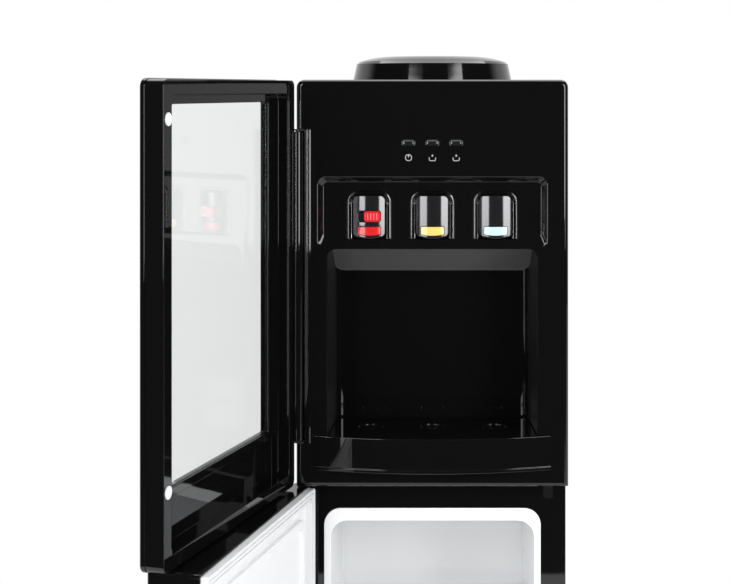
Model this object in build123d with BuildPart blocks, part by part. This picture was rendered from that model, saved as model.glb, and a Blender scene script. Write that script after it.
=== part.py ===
from build123d import *
from math import radians, sin
import os

# Free-standing three-tap water cooler with a glazed upper door and a small chilled cabinet below.
# X points right, Y points away from the viewer, Z points up.
# The origin is on the floor, under the middle of the body and of the bottle seat.
# The doors are built open, and their closed place is one limit of their hinges.

os.makedirs("parts", exist_ok=True)

# ---- overall sizes ----
body_width = 320.0
body_depth = 340.0
body_height = 950.0
plinth_height = 50.0
bezel_height = 478.6
bezel_depth = 37.8            # step from the bezel face back to the cabinet face
bezel_corner = 9.0            # seen from the front, the two top corners
bezel_edge = 6.0              # rounding of the front edges
moulding = 3.0                # wall of the large mouldings
sheet = 1.2                   # steel sheet of the casing
fit = 0.3                     # gap between pieces that are slipped together

half_width = body_width / 2
front = -body_depth / 2
rear = body_depth / 2
bezel_floor = body_height - bezel_height
cabinet_front = front + bezel_depth

# ---- plinth ----
plinth_wall = 4.0
plinth_corner = 8.0
plinth_deck = plinth_height - plinth_wall
rib_pitch = 90.0

# ---- cabinet ----
frame_thickness = 2.2
shell_front = cabinet_front + frame_thickness
opening_margin = 38.0         # from the side of the body
opening_drop = 50.4           # below the bezel
opening_rise = 46.0           # above the plinth
opening_corner = 20.0
opening_half = half_width - opening_margin
opening_top = bezel_floor - opening_drop
opening_bottom = plinth_height + opening_rise
cabinet_depth = 230.0
liner_wall = 2.5
flange_width = 8.0
flange_rise = 15.0            # the flange is wider along the top edge
flange_thickness = 1.6
bay_height = 140.0            # machine bay under the raised rear floor
bay_top = plinth_height + bay_height
bay_front = 10.0
door_gap = 2.0                # between bezel and lower door
foam_drop = 23.4              # top of the insulation below the bezel
foam_top = bezel_floor - foam_drop
rack_rise = 166.0             # above the cabinet floor
rack_height = opening_bottom + rack_rise
rack_rib = 4.0
rack_rib_height = 6.0

# ---- back of the casing ----
rear_setback = 16.0           # room for the condenser behind the rear panel
casing_lip = 12.0
cover_skirt = 14.0
louvre_width = 76.0
louvre_height = 5.0
louvre_pitch = 9.0
louvre_rows = 6
louvre_offset = 60.8          # middle of a block from the middle of the panel
louvre_rise = 54.0            # lowest louvre above the machine bay
louvre_drop = 180.0           # lowest louvre of the upper blocks below the top
louvre_feet = (bay_top + louvre_rise, body_height - louvre_drop)

# ---- taps ----
tap_pitch = 74.4
recess_depth = 6.5
recess_margin = 25.0          # from the side of the body
recess_bevel = 6.5
recess_drop = 114.0           # below the top of the body
sill_drop = 183.0
sill_band = 16.0              # from the sill down to the niche
recess_corner = 9.0
recess_half = half_width - recess_margin
recess_top = body_height - recess_drop
sill_top = body_height - sill_drop
niche_top = sill_top - sill_band
well_width = 51.0
well_height = 51.0
well_corner = 11.0
tap_rim = 5.0
tap_body_depth = 42.0
paddle_width = 38.0
paddle_height = 50.0
paddle_drop = 3.4             # how far the paddle hangs below the sill edge
paddle_bulge = 4.0
foot_bow = 3.0                # the foot of the paddle bows down in the middle
paddle_proud = 1.5            # paddle face in front of the bezel face
paddle_thickness = 6.0
paddle_swing = 7.0            # degrees
hinge_drop = 7.0              # paddle hinge below the top of the well
paddle_pin_radius = 1.5
strip_width = 27.0
strip_height = 10.0
strip_rise = 3.4              # above the foot of the paddle
strip_thickness = 3.4         # at its middle
strip_corner = 1.0
slot_width = 27.1
slot_height = 13.0
slot_rise = 19.4
slider_width = 19.4
slider_height = 12.4
slot_depth = 3.6
slider_proud = 1.6
nozzle_setback = 42.0         # behind the bezel face
nozzle_radius = 6.0
nozzle_bore = 3.5
nozzle_hang = 1.5             # below the niche ceiling
nozzle_tip = niche_top - nozzle_hang

# ---- indicator lights ----
lens_pitch = 28.0
lens_drop = 74.0              # below the top of the body
lens_height = body_height - lens_drop
lens_width = 15.0
lens_tall = 7.0
lens_corner = 2.5
board_gap = 7.0
board_thickness = 1.6
boss_radius = 3.0
boss_offset = 43.0
led_radius = 2.0

# ---- dispensing niche ----
niche_margin = 36.5           # from the side of the body
niche_draw = 4.0              # each side draws in by this much to the back
niche_depth = 97.0
niche_slope = 37.0            # fall of the ceiling to the back
niche_half_front = half_width - niche_margin
niche_half_back = niche_half_front - niche_draw
niche_back_top = niche_top - niche_slope
niche_fold = 44.0             # level part of the niche ceiling, which hides the nozzles
niche_corner = 12.0
niche_wall = 2.5

# ---- drip tray ----
tray_rise = 20.6              # above the foot of the bezel
tray_height = 40.0
tray_margin = 20.5            # from the side of the body
tray_bottom = bezel_floor + tray_rise
tray_top = tray_bottom + tray_height
tray_half = half_width - tray_margin
tray_bow = 20.0
tray_wall = 2.5
tray_depth = 88.0
tray_clear = 1.2
plate_thickness = 3.0
rosette_radius = 15.0
rosette_setback = 47.0
rosette_holes = 6
lip_height = 4.0
lip_proud = 1.2

# ---- upper door ----
door_thickness = 26.3
door_clear = 0.8
panel_thickness = 6.0
panel_skin = 3.0
rim_width = 16.5
window_depth = 14.0
window_margin = 43.8
window_drop = 25.9            # below the top of the body
window_rise = 73.0            # above the foot of the door
window_top = body_height - window_drop
window_bottom = bezel_floor + window_rise
glass_thickness = 3.0
glass_lap = 6.0
door_floor = 2.4
pocket_depth = 21.6
hinge_inset = 1.4             # hinge axis inside the left side
hinge_back = 3.2              # hinge axis behind the bezel face
upper_open = 107.35           # degrees, as built
barrel_radius = 6.8
barrel_rise = 54.6            # above the foot of the bezel
barrel_drop = 61.0            # below the top of the body
barrel_bottom = bezel_floor + barrel_rise
barrel_top = body_height - barrel_drop
barrel_gap = 3.0              # room above and below the hinge barrel
notch_bottom = barrel_bottom - barrel_gap
notch_top = barrel_top + barrel_gap
notch_bevel = 9.4
pintle_radius = 2.5
pintle_length = 16.0
running_fit = 0.05
bumper_radius = 6.5
bumper_inset = 10.0
bumper_rise = 78.6            # lower one above the foot of the door
bumper_drop = 40.0            # upper one below the top
bumper_heights = (bezel_floor + bumper_rise, body_height - bumper_drop)
bumper_proud = 0.5
bumper_seat = 3.0

# ---- lower door ----
lower_open = 104.4            # degrees, as built
lower_hinge_inset = 4.5       # hinge axis inside the left side
lower_axis_x = -half_width + lower_hinge_inset
lower_axis_forward = 19.0     # in front of the cabinet face
gasket_gap = 9.0              # door liner to cabinet face
gasket_clear = 0.4
gasket_width = 13.0
gasket_inset = 3.0
shell_wall = 2.5
liner_panel_inset = 30.0
liner_panel_rise = 5.0
liner_panel_corner = 15.0
lower_pin_radius = 3.0
lower_pin_reach = 14.0

# ---- bottle seat ----
seat_radius = 102.5
seat_shoulder_radius = 98.0
seat_shoulder = 21.0
seat_slope_radius = 94.0
seat_slope = 24.0
seat_rim_radius = 65.0
seat_rim = 30.3
seat_wall = 2.5
funnel_radius = 42.0
funnel_floor = -2.0
well_floor = -48.0
probe_radius = 8.75
probe_height = 45.0
probe_bore = 4.0
cover_hole = 90.0

# ---- tanks and works ----
cold_radius = 62.0
cold_drop = 12.0              # top of the cold tank below the top of the body
cold_height = 148.0
cold_top = body_height - cold_drop
cold_bottom = cold_top - cold_height
tank_wall = 1.0
cold_foam_wall = 18.0
hot_radius = 45.0
hot_x = -62.0
hot_y = 30.0
hot_height = 140.0
heater_width = 30.0
heater_thickness = 2.5
deck_leg = 12.0
hose_radius = 4.5
compressor_length = 150.0
compressor_width = 104.0
compressor_height = 118.0
compressor_gap = 14.0         # from the rear panel's plane
condenser_tube = 2.4
condenser_wire = 0.9
condenser_passes = 9
condenser_margin = 35.0       # from the side of the body
condenser_rise = 50.0         # above the machine bay
condenser_drop = 230.0        # below the top of the body
condenser_half = half_width - condenser_margin
condenser_bottom = bay_top + condenser_rise
condenser_top = body_height - condenser_drop
condenser_wires = 11
switch_x = (-18.0, 18.0)
switch_drop = 90.0            # below the top of the body
switch_z = body_height - switch_drop
switch_width = 13.0
switch_height = 20.0


def save(piece, name):
    """Label one finished piece and write its file."""
    piece.label = name
    export_step(piece, "parts/" + name + ".step")


def box_between(x0, x1, y0, y1, z0, z1, mode=Mode.ADD):
    """A block given by its six faces, for use inside a part."""
    with Locations(((x0 + x1) / 2, (y0 + y1) / 2, (z0 + z1) / 2)):
        Box(x1 - x0, y1 - y0, z1 - z0, mode=mode)


def front_plane(y):
    """Drawing plane seen from the front, with drawing Y up; it extrudes towards the viewer."""
    return Plane(origin=(0, y, 0), x_dir=(1, 0, 0), z_dir=(0, -1, 0))


def side_plane(x):
    """Drawing plane seen from the right, with drawing Y up; it extrudes towards +X."""
    return Plane(origin=(x, 0, 0), x_dir=(0, 1, 0), z_dir=(1, 0, 0))


def slab(x0, x1, z0, z1, radius, y_front, y_back, mode=Mode.ADD):
    """A plate with rounded corners as seen from the front."""
    with BuildSketch(front_plane(y_back)) as outline:
        with Locations(((x0 + x1) / 2, (z0 + z1) / 2)):
            RectangleRounded(x1 - x0, z1 - z0, radius)
    extrude(outline.sketch, amount=y_back - y_front, mode=mode)


# =====================================================================================
# Casing
# =====================================================================================
with BuildPart() as base_plinth:
    with BuildSketch():
        RectangleRounded(body_width, body_depth, plinth_corner)
    extrude(amount=plinth_height)
    with BuildSketch():
        RectangleRounded(
            body_width - 2 * plinth_wall, body_depth - 2 * plinth_wall, plinth_corner - plinth_wall
        )
    extrude(amount=plinth_deck, mode=Mode.SUBTRACT)
    with Locations(*[(0, step * rib_pitch, plinth_deck / 2) for step in (-1, 0, 1)]):
        Box(body_width - plinth_wall, plinth_wall, plinth_deck)
    box_between(
        -half_width,
        lower_axis_x + 3 * lower_pin_radius,
        front + plinth_corner,
        cabinet_front - lower_axis_forward + 3 * lower_pin_radius,
        plinth_height - lower_pin_reach - plinth_wall,
        plinth_deck,
    )
    with Locations((lower_axis_x, cabinet_front - lower_axis_forward, plinth_height)):
        Cylinder(
            lower_pin_radius + running_fit,
            lower_pin_reach,
            align=(Align.CENTER, Align.CENTER, Align.MAX),
            mode=Mode.SUBTRACT,
        )
save(base_plinth.part, "base_plinth")


def side_panel(side):
    """One side of the casing: a steel sheet with a lip folded in at the front and at the back."""
    sheet_front = shell_front
    sheet_back = rear - 2 * sheet
    outer = side * half_width
    inner = side * (half_width - sheet)
    lip = side * (half_width - casing_lip)
    with BuildPart() as panel:
        with BuildSketch(Plane.XY.offset(plinth_height)):
            with BuildLine():
                Polyline(
                    (outer, sheet_front),
                    (outer, sheet_back),
                    (lip, sheet_back),
                    (lip, sheet_back - sheet),
                    (inner, sheet_back - sheet),
                    (inner, sheet_front + sheet),
                    (lip, sheet_front + sheet),
                    (lip, sheet_front),
                    close=True,
                )
            make_face()
        extrude(amount=body_height - cover_skirt - plinth_height)
    return panel.part


save(side_panel(-1), "side_panel_left")
save(side_panel(1), "side_panel_right")

rear_face = rear - rear_setback
panel_half = half_width - sheet - fit
with BuildPart() as rear_panel:
    box_between(
        -panel_half, panel_half, rear_face - sheet, rear_face, bay_top, body_height - cover_skirt - fit
    )
    for column in (-1, 1):
        for block_foot in louvre_feet:
            for row in range(louvre_rows):
                with Locations((column * louvre_offset, rear_face, block_foot + row * louvre_pitch)):
                    Box(louvre_width, 4 * sheet, louvre_height, mode=Mode.SUBTRACT)
    for x in switch_x:
        box_between(
            x - switch_width / 2 - fit,
            x + switch_width / 2 + fit,
            rear_face - 2 * sheet,
            rear_face + sheet,
            switch_z - switch_height / 2 - fit,
            switch_z + switch_height / 2 + fit,
            mode=Mode.SUBTRACT,
        )
save(rear_panel.part, "rear_panel")

with BuildPart() as top_cover:
    with BuildSketch(front_plane(rear)) as cover_outline:
        with Locations((0, body_height - cover_skirt / 2)):
            Rectangle(body_width, cover_skirt)
        fillet(cover_outline.vertices().group_by(Axis.Y)[-1], bezel_corner)
    extrude(amount=rear - shell_front)
    box_between(
        -half_width + moulding,
        half_width - moulding,
        shell_front + moulding,
        rear - moulding,
        body_height - cover_skirt,
        body_height - moulding,
        mode=Mode.SUBTRACT,
    )
    Cylinder(cover_hole, 3 * body_height, mode=Mode.SUBTRACT)
save(top_cover.part, "top_cover")


# =====================================================================================
# Cabinet
# =====================================================================================
cabinet_back = cabinet_front + cabinet_depth
bay_wall = 15.0               # insulation between the machine bay and the liner


def cabinet_space(grow, mouth):
    """The chilled space with its raised rear floor, grown by a wall, from the mouth to the back."""
    with BuildPart() as space:
        slab(
            -opening_half - grow,
            opening_half + grow,
            opening_bottom - grow,
            opening_top + grow,
            opening_corner + grow,
            mouth,
            cabinet_back + grow,
        )
        box_between(
            -half_width,
            half_width,
            bay_front - bay_wall + grow,
            rear,
            0,
            bay_top + bay_wall - grow,
            mode=Mode.SUBTRACT,
        )
    return space.part


flange_front = cabinet_front - flange_thickness
liner_inside = cabinet_space(0, flange_front)
liner_outside = cabinet_space(liner_wall, cabinet_front)
with BuildPart() as cabinet_liner:
    add(liner_outside)
    slab(
        -opening_half - flange_width,
        opening_half + flange_width,
        opening_bottom - flange_width,
        opening_top + flange_rise,
        opening_corner,
        flange_front,
        cabinet_front,
    )
    add(liner_inside, mode=Mode.SUBTRACT)
    for side in (-1, 1):
        rib_x = side * (opening_half - rack_rib / 2 + liner_wall / 2)
        with Locations((rib_x, (cabinet_front + cabinet_back) / 2, rack_height - rack_rib_height / 2)):
            Box(rack_rib + liner_wall, cabinet_depth - 2 * opening_corner, rack_rib_height)
save(cabinet_liner.part, "cabinet_liner")

frame_hole = opening_half + liner_wall
with BuildPart() as cabinet_frame:
    box_between(-half_width, half_width, cabinet_front, shell_front, plinth_height, bezel_floor)
    slab(
        -frame_hole,
        frame_hole,
        opening_bottom - liner_wall,
        opening_top + liner_wall,
        opening_corner + liner_wall,
        cabinet_front,
        shell_front,
        mode=Mode.SUBTRACT,
    )
save(cabinet_frame.part, "cabinet_frame")

foam_hole = cabinet_space(liner_wall + fit, cabinet_front)
foam_back = cabinet_back + liner_wall + bay_wall
with BuildPart() as cabinet_foam:
    box_between(
        -panel_half, panel_half, shell_front + sheet + fit, foam_back, plinth_height, foam_top
    )
    add(foam_hole, mode=Mode.SUBTRACT)
    box_between(-half_width, half_width, bay_front, rear, 0, bay_top, mode=Mode.SUBTRACT)
save(cabinet_foam.part, "cabinet_foam")

rack_frame_radius = 2.5
rack_wire_radius = 1.5
rack_wires = 9
rack_clear = 1.0
rack_half = opening_half - rack_clear - rack_frame_radius
rack_front = cabinet_front + 12.0
rack_back = cabinet_back - liner_wall - opening_corner
rack_z = rack_height + rack_frame_radius + fit
with BuildPart() as wire_rack:
    with BuildLine(Plane.XY.offset(rack_z)) as rack_path:
        FilletPolyline(
            (-rack_half, rack_front),
            (rack_half, rack_front),
            (rack_half, rack_back),
            (-rack_half, rack_back),
            radius=10,
            close=True,
        )
    with BuildSketch(Plane(origin=(0, rack_front, rack_z), x_dir=(0, 1, 0), z_dir=(1, 0, 0))):
        Circle(rack_frame_radius)
    sweep(path=rack_path.wires()[0])
    with BuildSketch(front_plane(rack_back)):
        with Locations((0, rack_z + rack_frame_radius)):
            with GridLocations(2 * rack_half / (rack_wires + 1), 0, rack_wires, 1):
                Circle(rack_wire_radius)
    extrude(amount=rack_back - rack_front)
save(wire_rack.part, "wire_rack")

deck_back = rear_face - sheet - fit
with BuildPart() as mid_deck:
    box_between(-panel_half, panel_half, shell_front + sheet + fit, deck_back, foam_top, foam_top + sheet)
    box_between(-panel_half, panel_half, deck_back - sheet, deck_back, foam_top, foam_top + deck_leg)
save(mid_deck.part, "mid_deck")
deck = foam_top + sheet

# =====================================================================================
# Front moulding with the niche
# =====================================================================================
upper_axis_x = -half_width + hinge_inset
upper_axis_y = front + hinge_back
notch_side = upper_axis_x + barrel_radius + door_clear
notch_back = upper_axis_y + barrel_radius + door_clear
lower_axis_y = cabinet_front - lower_axis_forward
recess_floor = front + recess_depth
recess_back = recess_floor + moulding
tray_floor = tray_bottom - fit
tap_places = (-tap_pitch, 0.0, tap_pitch)
lens_places = (-lens_pitch, 0.0, lens_pitch)


def arch_block(x, width, bottom, top, radius, y_front, y_back):
    """A block with a flat foot and two rounded top corners, as seen from the front."""
    with BuildPart() as block:
        with BuildSketch(front_plane(y_back)) as outline:
            with Locations((x, (bottom + top) / 2)):
                Rectangle(width, top - bottom)
            fillet(outline.vertices().group_by(Axis.Y)[-1], radius)
        extrude(amount=y_back - y_front)
    return block.part


def recess_outline(y, half, bottom, top, radius):
    """One end of the shallow tap recess."""
    with BuildSketch(front_plane(y)) as outline:
        with Locations((0, (bottom + top) / 2)):
            Rectangle(2 * half, top - bottom)
        fillet(outline.vertices(), radius)
    return outline.sketch


def niche_space(grow):
    """The space for the cup and the tray: level front ceiling, sloped rear ceiling and sides that draw in."""
    back = front + niche_depth + grow
    with BuildPart() as space:
        with BuildSketch(side_plane(-half_width)):
            with BuildLine():
                Polyline(
                    (front + moulding, tray_floor - grow),
                    (back, tray_floor - grow),
                    (back, niche_back_top + grow),
                    (front + niche_fold, niche_top + grow),
                    (front + moulding, niche_top + grow),
                    close=True,
                )
            make_face()
        extrude(amount=body_width)
        with BuildSketch(Plane.XY):
            with BuildLine():
                Polyline(
                    (-niche_half_front - grow, front),
                    (niche_half_front + grow, front),
                    (niche_half_back + grow, back),
                    (-niche_half_back - grow, back),
                    close=True,
                )
            make_face()
        extrude(amount=body_height, mode=Mode.INTERSECT)
        fillet(space.edges().filter_by(Axis.Z).group_by(Axis.Y)[-1], niche_corner + grow)
    return space.part


recess_front_face = recess_outline(front, recess_half, niche_top + fit, recess_top, recess_corner)
recess_floor_face = recess_outline(
    recess_floor,
    recess_half - recess_bevel,
    sill_top,
    recess_top - recess_bevel,
    recess_corner - recess_bevel / 2,
)
with BuildPart() as recess_cut:
    add(recess_front_face)
    add(recess_floor_face)
    loft()
well_foot = sill_top - 5.0

with BuildPart() as front_bezel:
    with BuildSketch(front_plane(shell_front)) as bezel_outline:
        with Locations((0, bezel_floor + bezel_height / 2)):
            Rectangle(body_width, bezel_height)
        fillet(bezel_outline.vertices().group_by(Axis.Y)[-1], bezel_corner)
    extrude(amount=shell_front - front)
    fillet(front_bezel.faces().sort_by(Axis.Y)[0].edges(), bezel_edge)
    box_between(
        -half_width + moulding,
        half_width - moulding,
        front + moulding,
        shell_front,
        bezel_floor + moulding,
        body_height - moulding,
        mode=Mode.SUBTRACT,
    )
    box_between(
        -recess_half - moulding,
        recess_half + moulding,
        front + moulding,
        recess_back,
        niche_top + niche_wall,
        recess_top + moulding,
    )
    box_between(
        -half_width + moulding,
        notch_side + notch_bevel + moulding,
        front + moulding,
        notch_back + moulding,
        notch_bottom - moulding,
        notch_top + moulding,
    )
    add(recess_cut.part, mode=Mode.SUBTRACT)
    box_between(-half_width, notch_side, front, notch_back, notch_bottom, notch_top, mode=Mode.SUBTRACT)
    with BuildSketch(Plane.XY.offset(notch_bottom)):
        with BuildLine():
            Polyline(
                (notch_side, front),
                (notch_side + notch_bevel, front),
                (notch_side, front + hinge_back),
                close=True,
            )
        make_face()
    extrude(amount=notch_top - notch_bottom, mode=Mode.SUBTRACT)
    for x in tap_places:
        well = arch_block(
            x, well_width, well_foot, sill_top + well_height, well_corner, front, recess_back
        )
        add(well, mode=Mode.SUBTRACT)
    niche_mouth = arch_block(
        0, 2 * niche_half_front, tray_floor, niche_top, niche_corner, front, front + moulding
    )
    add(niche_mouth, mode=Mode.SUBTRACT)
    for x in lens_places:
        slab(
            x - lens_width / 2 - running_fit,
            x + lens_width / 2 + running_fit,
            lens_height - lens_tall / 2 - running_fit,
            lens_height + lens_tall / 2 + running_fit,
            lens_corner + running_fit,
            front,
            front + moulding,
            mode=Mode.SUBTRACT,
        )
    with BuildSketch(front_plane(front + board_gap)):
        with Locations((0, lens_height)):
            with GridLocations(2 * boss_offset, 0, 2, 1):
                Circle(boss_radius)
    extrude(amount=board_gap - moulding)
    box_between(
        -half_width,
        lower_axis_x + 3 * lower_pin_radius,
        lower_axis_y - 3 * lower_pin_radius,
        shell_front,
        bezel_floor,
        bezel_floor + lower_pin_reach + moulding,
    )
    with Locations((lower_axis_x, lower_axis_y, bezel_floor)):
        Cylinder(
            lower_pin_radius + running_fit,
            lower_pin_reach,
            align=(Align.CENTER, Align.CENTER, Align.MIN),
            mode=Mode.SUBTRACT,
        )
save(front_bezel.part, "front_bezel")

niche_inside = niche_space(0)
niche_outside = niche_space(niche_wall)
with BuildPart() as niche_liner:
    add(niche_outside)
    add(niche_inside, mode=Mode.SUBTRACT)
    for x in tap_places:
        with Locations((x, front + nozzle_setback, niche_top)):
            Cylinder(nozzle_radius + door_clear, 4 * niche_wall, mode=Mode.SUBTRACT)
save(niche_liner.part, "niche_liner")

with BuildPart() as indicator_lenses:
    for x in lens_places:
        slab(
            x - lens_width / 2,
            x + lens_width / 2,
            lens_height - lens_tall / 2,
            lens_height + lens_tall / 2,
            lens_corner,
            front - fit,
            front + moulding,
        )
save(indicator_lenses.part, "indicator_lenses")

with BuildPart() as indicator_board:
    board_face = front + board_gap
    board_half = boss_offset + boss_radius
    box_between(
        -board_half,
        board_half,
        board_face,
        board_face + board_thickness,
        lens_height - 2 * lens_tall,
        lens_height + lens_tall,
    )
    with BuildSketch(front_plane(board_face)):
        with Locations((0, lens_height)):
            with GridLocations(lens_pitch, 0, 3, 1):
                Circle(led_radius)
    extrude(amount=board_gap - moulding - fit)
save(indicator_board.part, "indicator_board")

# =====================================================================================
# Taps
# =====================================================================================
tap_face = recess_floor - tap_rim / 4
tap_back = tap_face + tap_body_depth
tap_top = sill_top + well_height - fit
paddle_face = front - paddle_proud
paddle_back = paddle_face + paddle_bulge + paddle_thickness
paddle_foot = sill_top - paddle_drop
paddle_head = paddle_foot + paddle_height
paddle_axis_z = paddle_head - hinge_drop
paddle_axis_y = paddle_back - paddle_thickness / 2
swing_room = (paddle_axis_z - paddle_foot) * sin(radians(paddle_swing)) + door_clear
pocket_back = paddle_back + swing_room
pocket_half = paddle_width / 2 + fit + door_clear
pocket_top = paddle_head + door_clear
stub_z = (sill_top + tap_top) / 2
stub_length = 5.0
trunnion = 2.4
flange = 3.0


def tap_body(x):
    """Tap housing with a pocket for its paddle, a nozzle below and a hose stub behind."""
    housing = arch_block(
        x, well_width - 2 * fit, well_foot + fit, tap_top, well_corner - fit, tap_face, tap_back
    )
    collar = arch_block(
        x,
        well_width + 2 * flange,
        well_foot,
        tap_top + flange,
        well_corner + flange,
        recess_back,
        recess_back + flange,
    )
    pocket = arch_block(
        x, 2 * pocket_half, well_foot, pocket_top, well_corner - tap_rim, tap_face, pocket_back
    )
    with BuildPart() as body:
        add(housing)
        add(collar)
        add(pocket, mode=Mode.SUBTRACT)
        with BuildSketch(side_plane(x - pocket_half - trunnion)):
            with Locations((paddle_axis_y, paddle_axis_z)):
                Circle(paddle_pin_radius + running_fit)
        extrude(amount=2 * (pocket_half + trunnion), mode=Mode.SUBTRACT)
        with BuildSketch(Plane.XY.offset(nozzle_tip)):
            with Locations((x, front + nozzle_setback)):
                Circle(nozzle_radius)
        extrude(amount=sill_top - nozzle_tip)
        with BuildSketch(Plane.XY.offset(nozzle_tip)):
            with Locations((x, front + nozzle_setback)):
                Circle(nozzle_bore)
        extrude(amount=stub_z - nozzle_tip, mode=Mode.SUBTRACT)
        with BuildSketch(front_plane(tap_back + stub_length)):
            with Locations((x, stub_z)):
                Circle(hose_radius)
        extrude(amount=stub_length)
    return body.part


def curved_plate(x, half, bottom, top, face, back):
    """A plate whose face bulges like the paddle's, cut to a width and a height."""
    sag = paddle_bulge * (half / (paddle_width / 2)) ** 2
    with BuildPart() as plate:
        with BuildSketch(Plane.XY.offset(bottom)):
            with BuildLine():
                ThreePointArc((x - half, face + sag), (x, face), (x + half, face + sag))
                Polyline((x + half, face + sag), (x + half, back), (x - half, back), (x - half, face + sag))
            make_face()
        extrude(amount=top - bottom)
    return plate.part


def bowed_block(x, half, foot, head, corner, y_front, y_back):
    """A block with rounded corners and a foot that bows down like the paddle's, as seen from the front."""
    rise = foot_bow * (half / (paddle_width / 2)) ** 2
    with BuildPart() as block:
        with BuildSketch(front_plane(y_back)) as outline:
            with BuildLine():
                ThreePointArc((x - half, foot + rise), (x, foot), (x + half, foot + rise))
                Polyline((x + half, foot + rise), (x + half, head), (x - half, head), (x - half, foot + rise))
            make_face()
            fillet(outline.vertices(), corner)
        extrude(amount=y_back - y_front)
    return block.part


def bar(x, grow, face):
    """The form of a colour strip, or the form of its seat in the paddle when it is grown."""
    half = strip_width / 2 + grow
    bottom = paddle_foot + strip_rise - grow
    top = bottom + strip_height + 2 * grow
    back = paddle_face + strip_thickness
    with BuildPart() as form:
        add(curved_plate(x, half, bottom, top, face, back))
        add(bowed_block(x, half, bottom, top, strip_corner + grow, face - 1, back), mode=Mode.INTERSECT)
    return form.part


def paddle(x, with_slot):
    """Press lever: a bulged face, a bowed foot, two trunnions and a seat for its colour strip."""
    half = paddle_width / 2
    blank = curved_plate(x, half, paddle_foot, paddle_head, paddle_face, paddle_back)
    outline = bowed_block(
        x, half, paddle_foot, paddle_head, well_corner - tap_rim, paddle_face - 1, paddle_back
    )
    seat = bar(x, running_fit, paddle_face - 1)
    with BuildPart() as lever:
        add(blank)
        add(outline, mode=Mode.INTERSECT)
        with BuildSketch(side_plane(x - paddle_width / 2 - trunnion)):
            with Locations((paddle_axis_y, paddle_axis_z)):
                Circle(paddle_pin_radius)
        extrude(amount=paddle_width + 2 * trunnion)
        add(seat, mode=Mode.SUBTRACT)
        if with_slot:
            slab(
                x - slot_width / 2,
                x + slot_width / 2,
                paddle_foot + slot_rise,
                paddle_foot + slot_rise + slot_height,
                slot_height / 4,
                paddle_face - 1,
                paddle_face + slot_depth,
                mode=Mode.SUBTRACT,
            )
    return lever.part


tap_names = ("hot", "warm", "cold")
for tap_name, tap_x in zip(tap_names, tap_places):
    save(tap_body(tap_x), "tap_" + tap_name)
    save(paddle(tap_x, tap_name == "hot"), "paddle_" + tap_name)
    save(bar(tap_x, 0, paddle_face - fit), "strip_" + tap_name)

with BuildPart() as child_lock:
    lock_right = -tap_pitch + slot_width / 2
    lock_middle = paddle_foot + slot_rise + slot_height / 2
    lock_face = paddle_face - slider_proud
    lock_back = paddle_face + slot_depth - running_fit
    slab(
        lock_right - slider_width,
        lock_right,
        lock_middle - slider_height / 2,
        lock_middle + slider_height / 2,
        slot_height / 4,
        lock_face,
        lock_back,
    )
    with Locations((lock_right - slider_width / 2, lock_face, lock_middle)):
        with GridLocations(slider_width / 4, 1, 4, 1):
            Box(slider_width / 16, slider_proud / 2, slider_height * 0.7, mode=Mode.SUBTRACT)
save(child_lock.part, "child_lock")

# =====================================================================================
# Drip tray
# =====================================================================================
fascia_back = front - fit
tray_back = front + tray_depth
basin_drop = 3.0


def niche_half(y, clear):
    """Half of the niche's width at a depth, less a clearance."""
    share = (y - front) / niche_depth
    return niche_half_front + (niche_half_back - niche_half_front) * share - clear


def tray_plan(inset, near):
    """Plan of the tray inside the niche, drawn in by a wall, from its near edge."""
    far = tray_back - inset
    with BuildLine() as edge:
        Polyline(
            (-niche_half(near, tray_clear + inset), near),
            (niche_half(near, tray_clear + inset), near),
            (niche_half(far, tray_clear + inset), far),
            (-niche_half(far, tray_clear + inset), far),
            close=True,
        )
    return edge.line


def bow_plan(half, bow, back):
    """Plan of the bowed front: an arc in front of a straight chord."""
    with BuildLine() as edge:
        ThreePointArc((-half, back), (0, back - bow), (half, back))
        Line((half, back), (-half, back))
    return edge.line


plate_seat = tray_top - plate_thickness - 1
with BuildPart() as drip_tray:
    with BuildSketch(Plane.XY.offset(tray_bottom)):
        add(tray_plan(0, fascia_back))
        make_face()
    extrude(amount=plate_seat - tray_bottom)
    with BuildSketch(Plane.XY.offset(tray_bottom + basin_drop)):
        add(tray_plan(tray_wall, fascia_back + tray_wall))
        make_face()
    extrude(amount=plate_seat - tray_bottom - basin_drop, mode=Mode.SUBTRACT)
    with BuildSketch(Plane.XY.offset(tray_bottom)):
        add(bow_plan(tray_half, tray_bow - lip_proud, fascia_back))
        make_face()
    extrude(amount=tray_top - tray_bottom)
    with BuildSketch(Plane.XY.offset(tray_bottom)):
        add(bow_plan(tray_half, tray_bow, fascia_back))
        make_face()
    extrude(amount=lip_height)
    with BuildSketch(Plane.XY.offset(plate_seat)):
        add(bow_plan(tray_half - 2 * tray_wall, tray_bow - 2 * tray_wall, fascia_back))
        make_face()
    extrude(amount=tray_top - plate_seat, mode=Mode.SUBTRACT)
save(drip_tray.part, "drip_tray")

rosette_y = front + rosette_setback
with BuildPart() as drip_plate:
    with BuildSketch(Plane.XY.offset(plate_seat)):
        add(tray_plan(fit, fascia_back - 1))
        make_face()
    extrude(amount=plate_thickness)
    with BuildSketch(Plane.XY.offset(plate_seat)):
        add(bow_plan(tray_half - 2 * tray_wall - fit, tray_bow - 2 * tray_wall - fit, fascia_back))
        make_face()
    extrude(amount=plate_thickness)
    with BuildSketch(Plane.XY.offset(plate_seat + plate_thickness)):
        for x in tap_places:
            with Locations((x, rosette_y)):
                Circle(rosette_radius)
    extrude(amount=-1, mode=Mode.SUBTRACT)
    with BuildSketch(Plane.XY.offset(plate_seat)):
        for x in tap_places:
            with Locations((x, rosette_y)):
                with PolarLocations(0, rosette_holes):
                    with Locations((rosette_radius * 0.56, 0)):
                        SlotOverall(rosette_radius * 0.62, rosette_radius * 0.22)
    extrude(amount=plate_thickness, mode=Mode.SUBTRACT)
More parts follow.
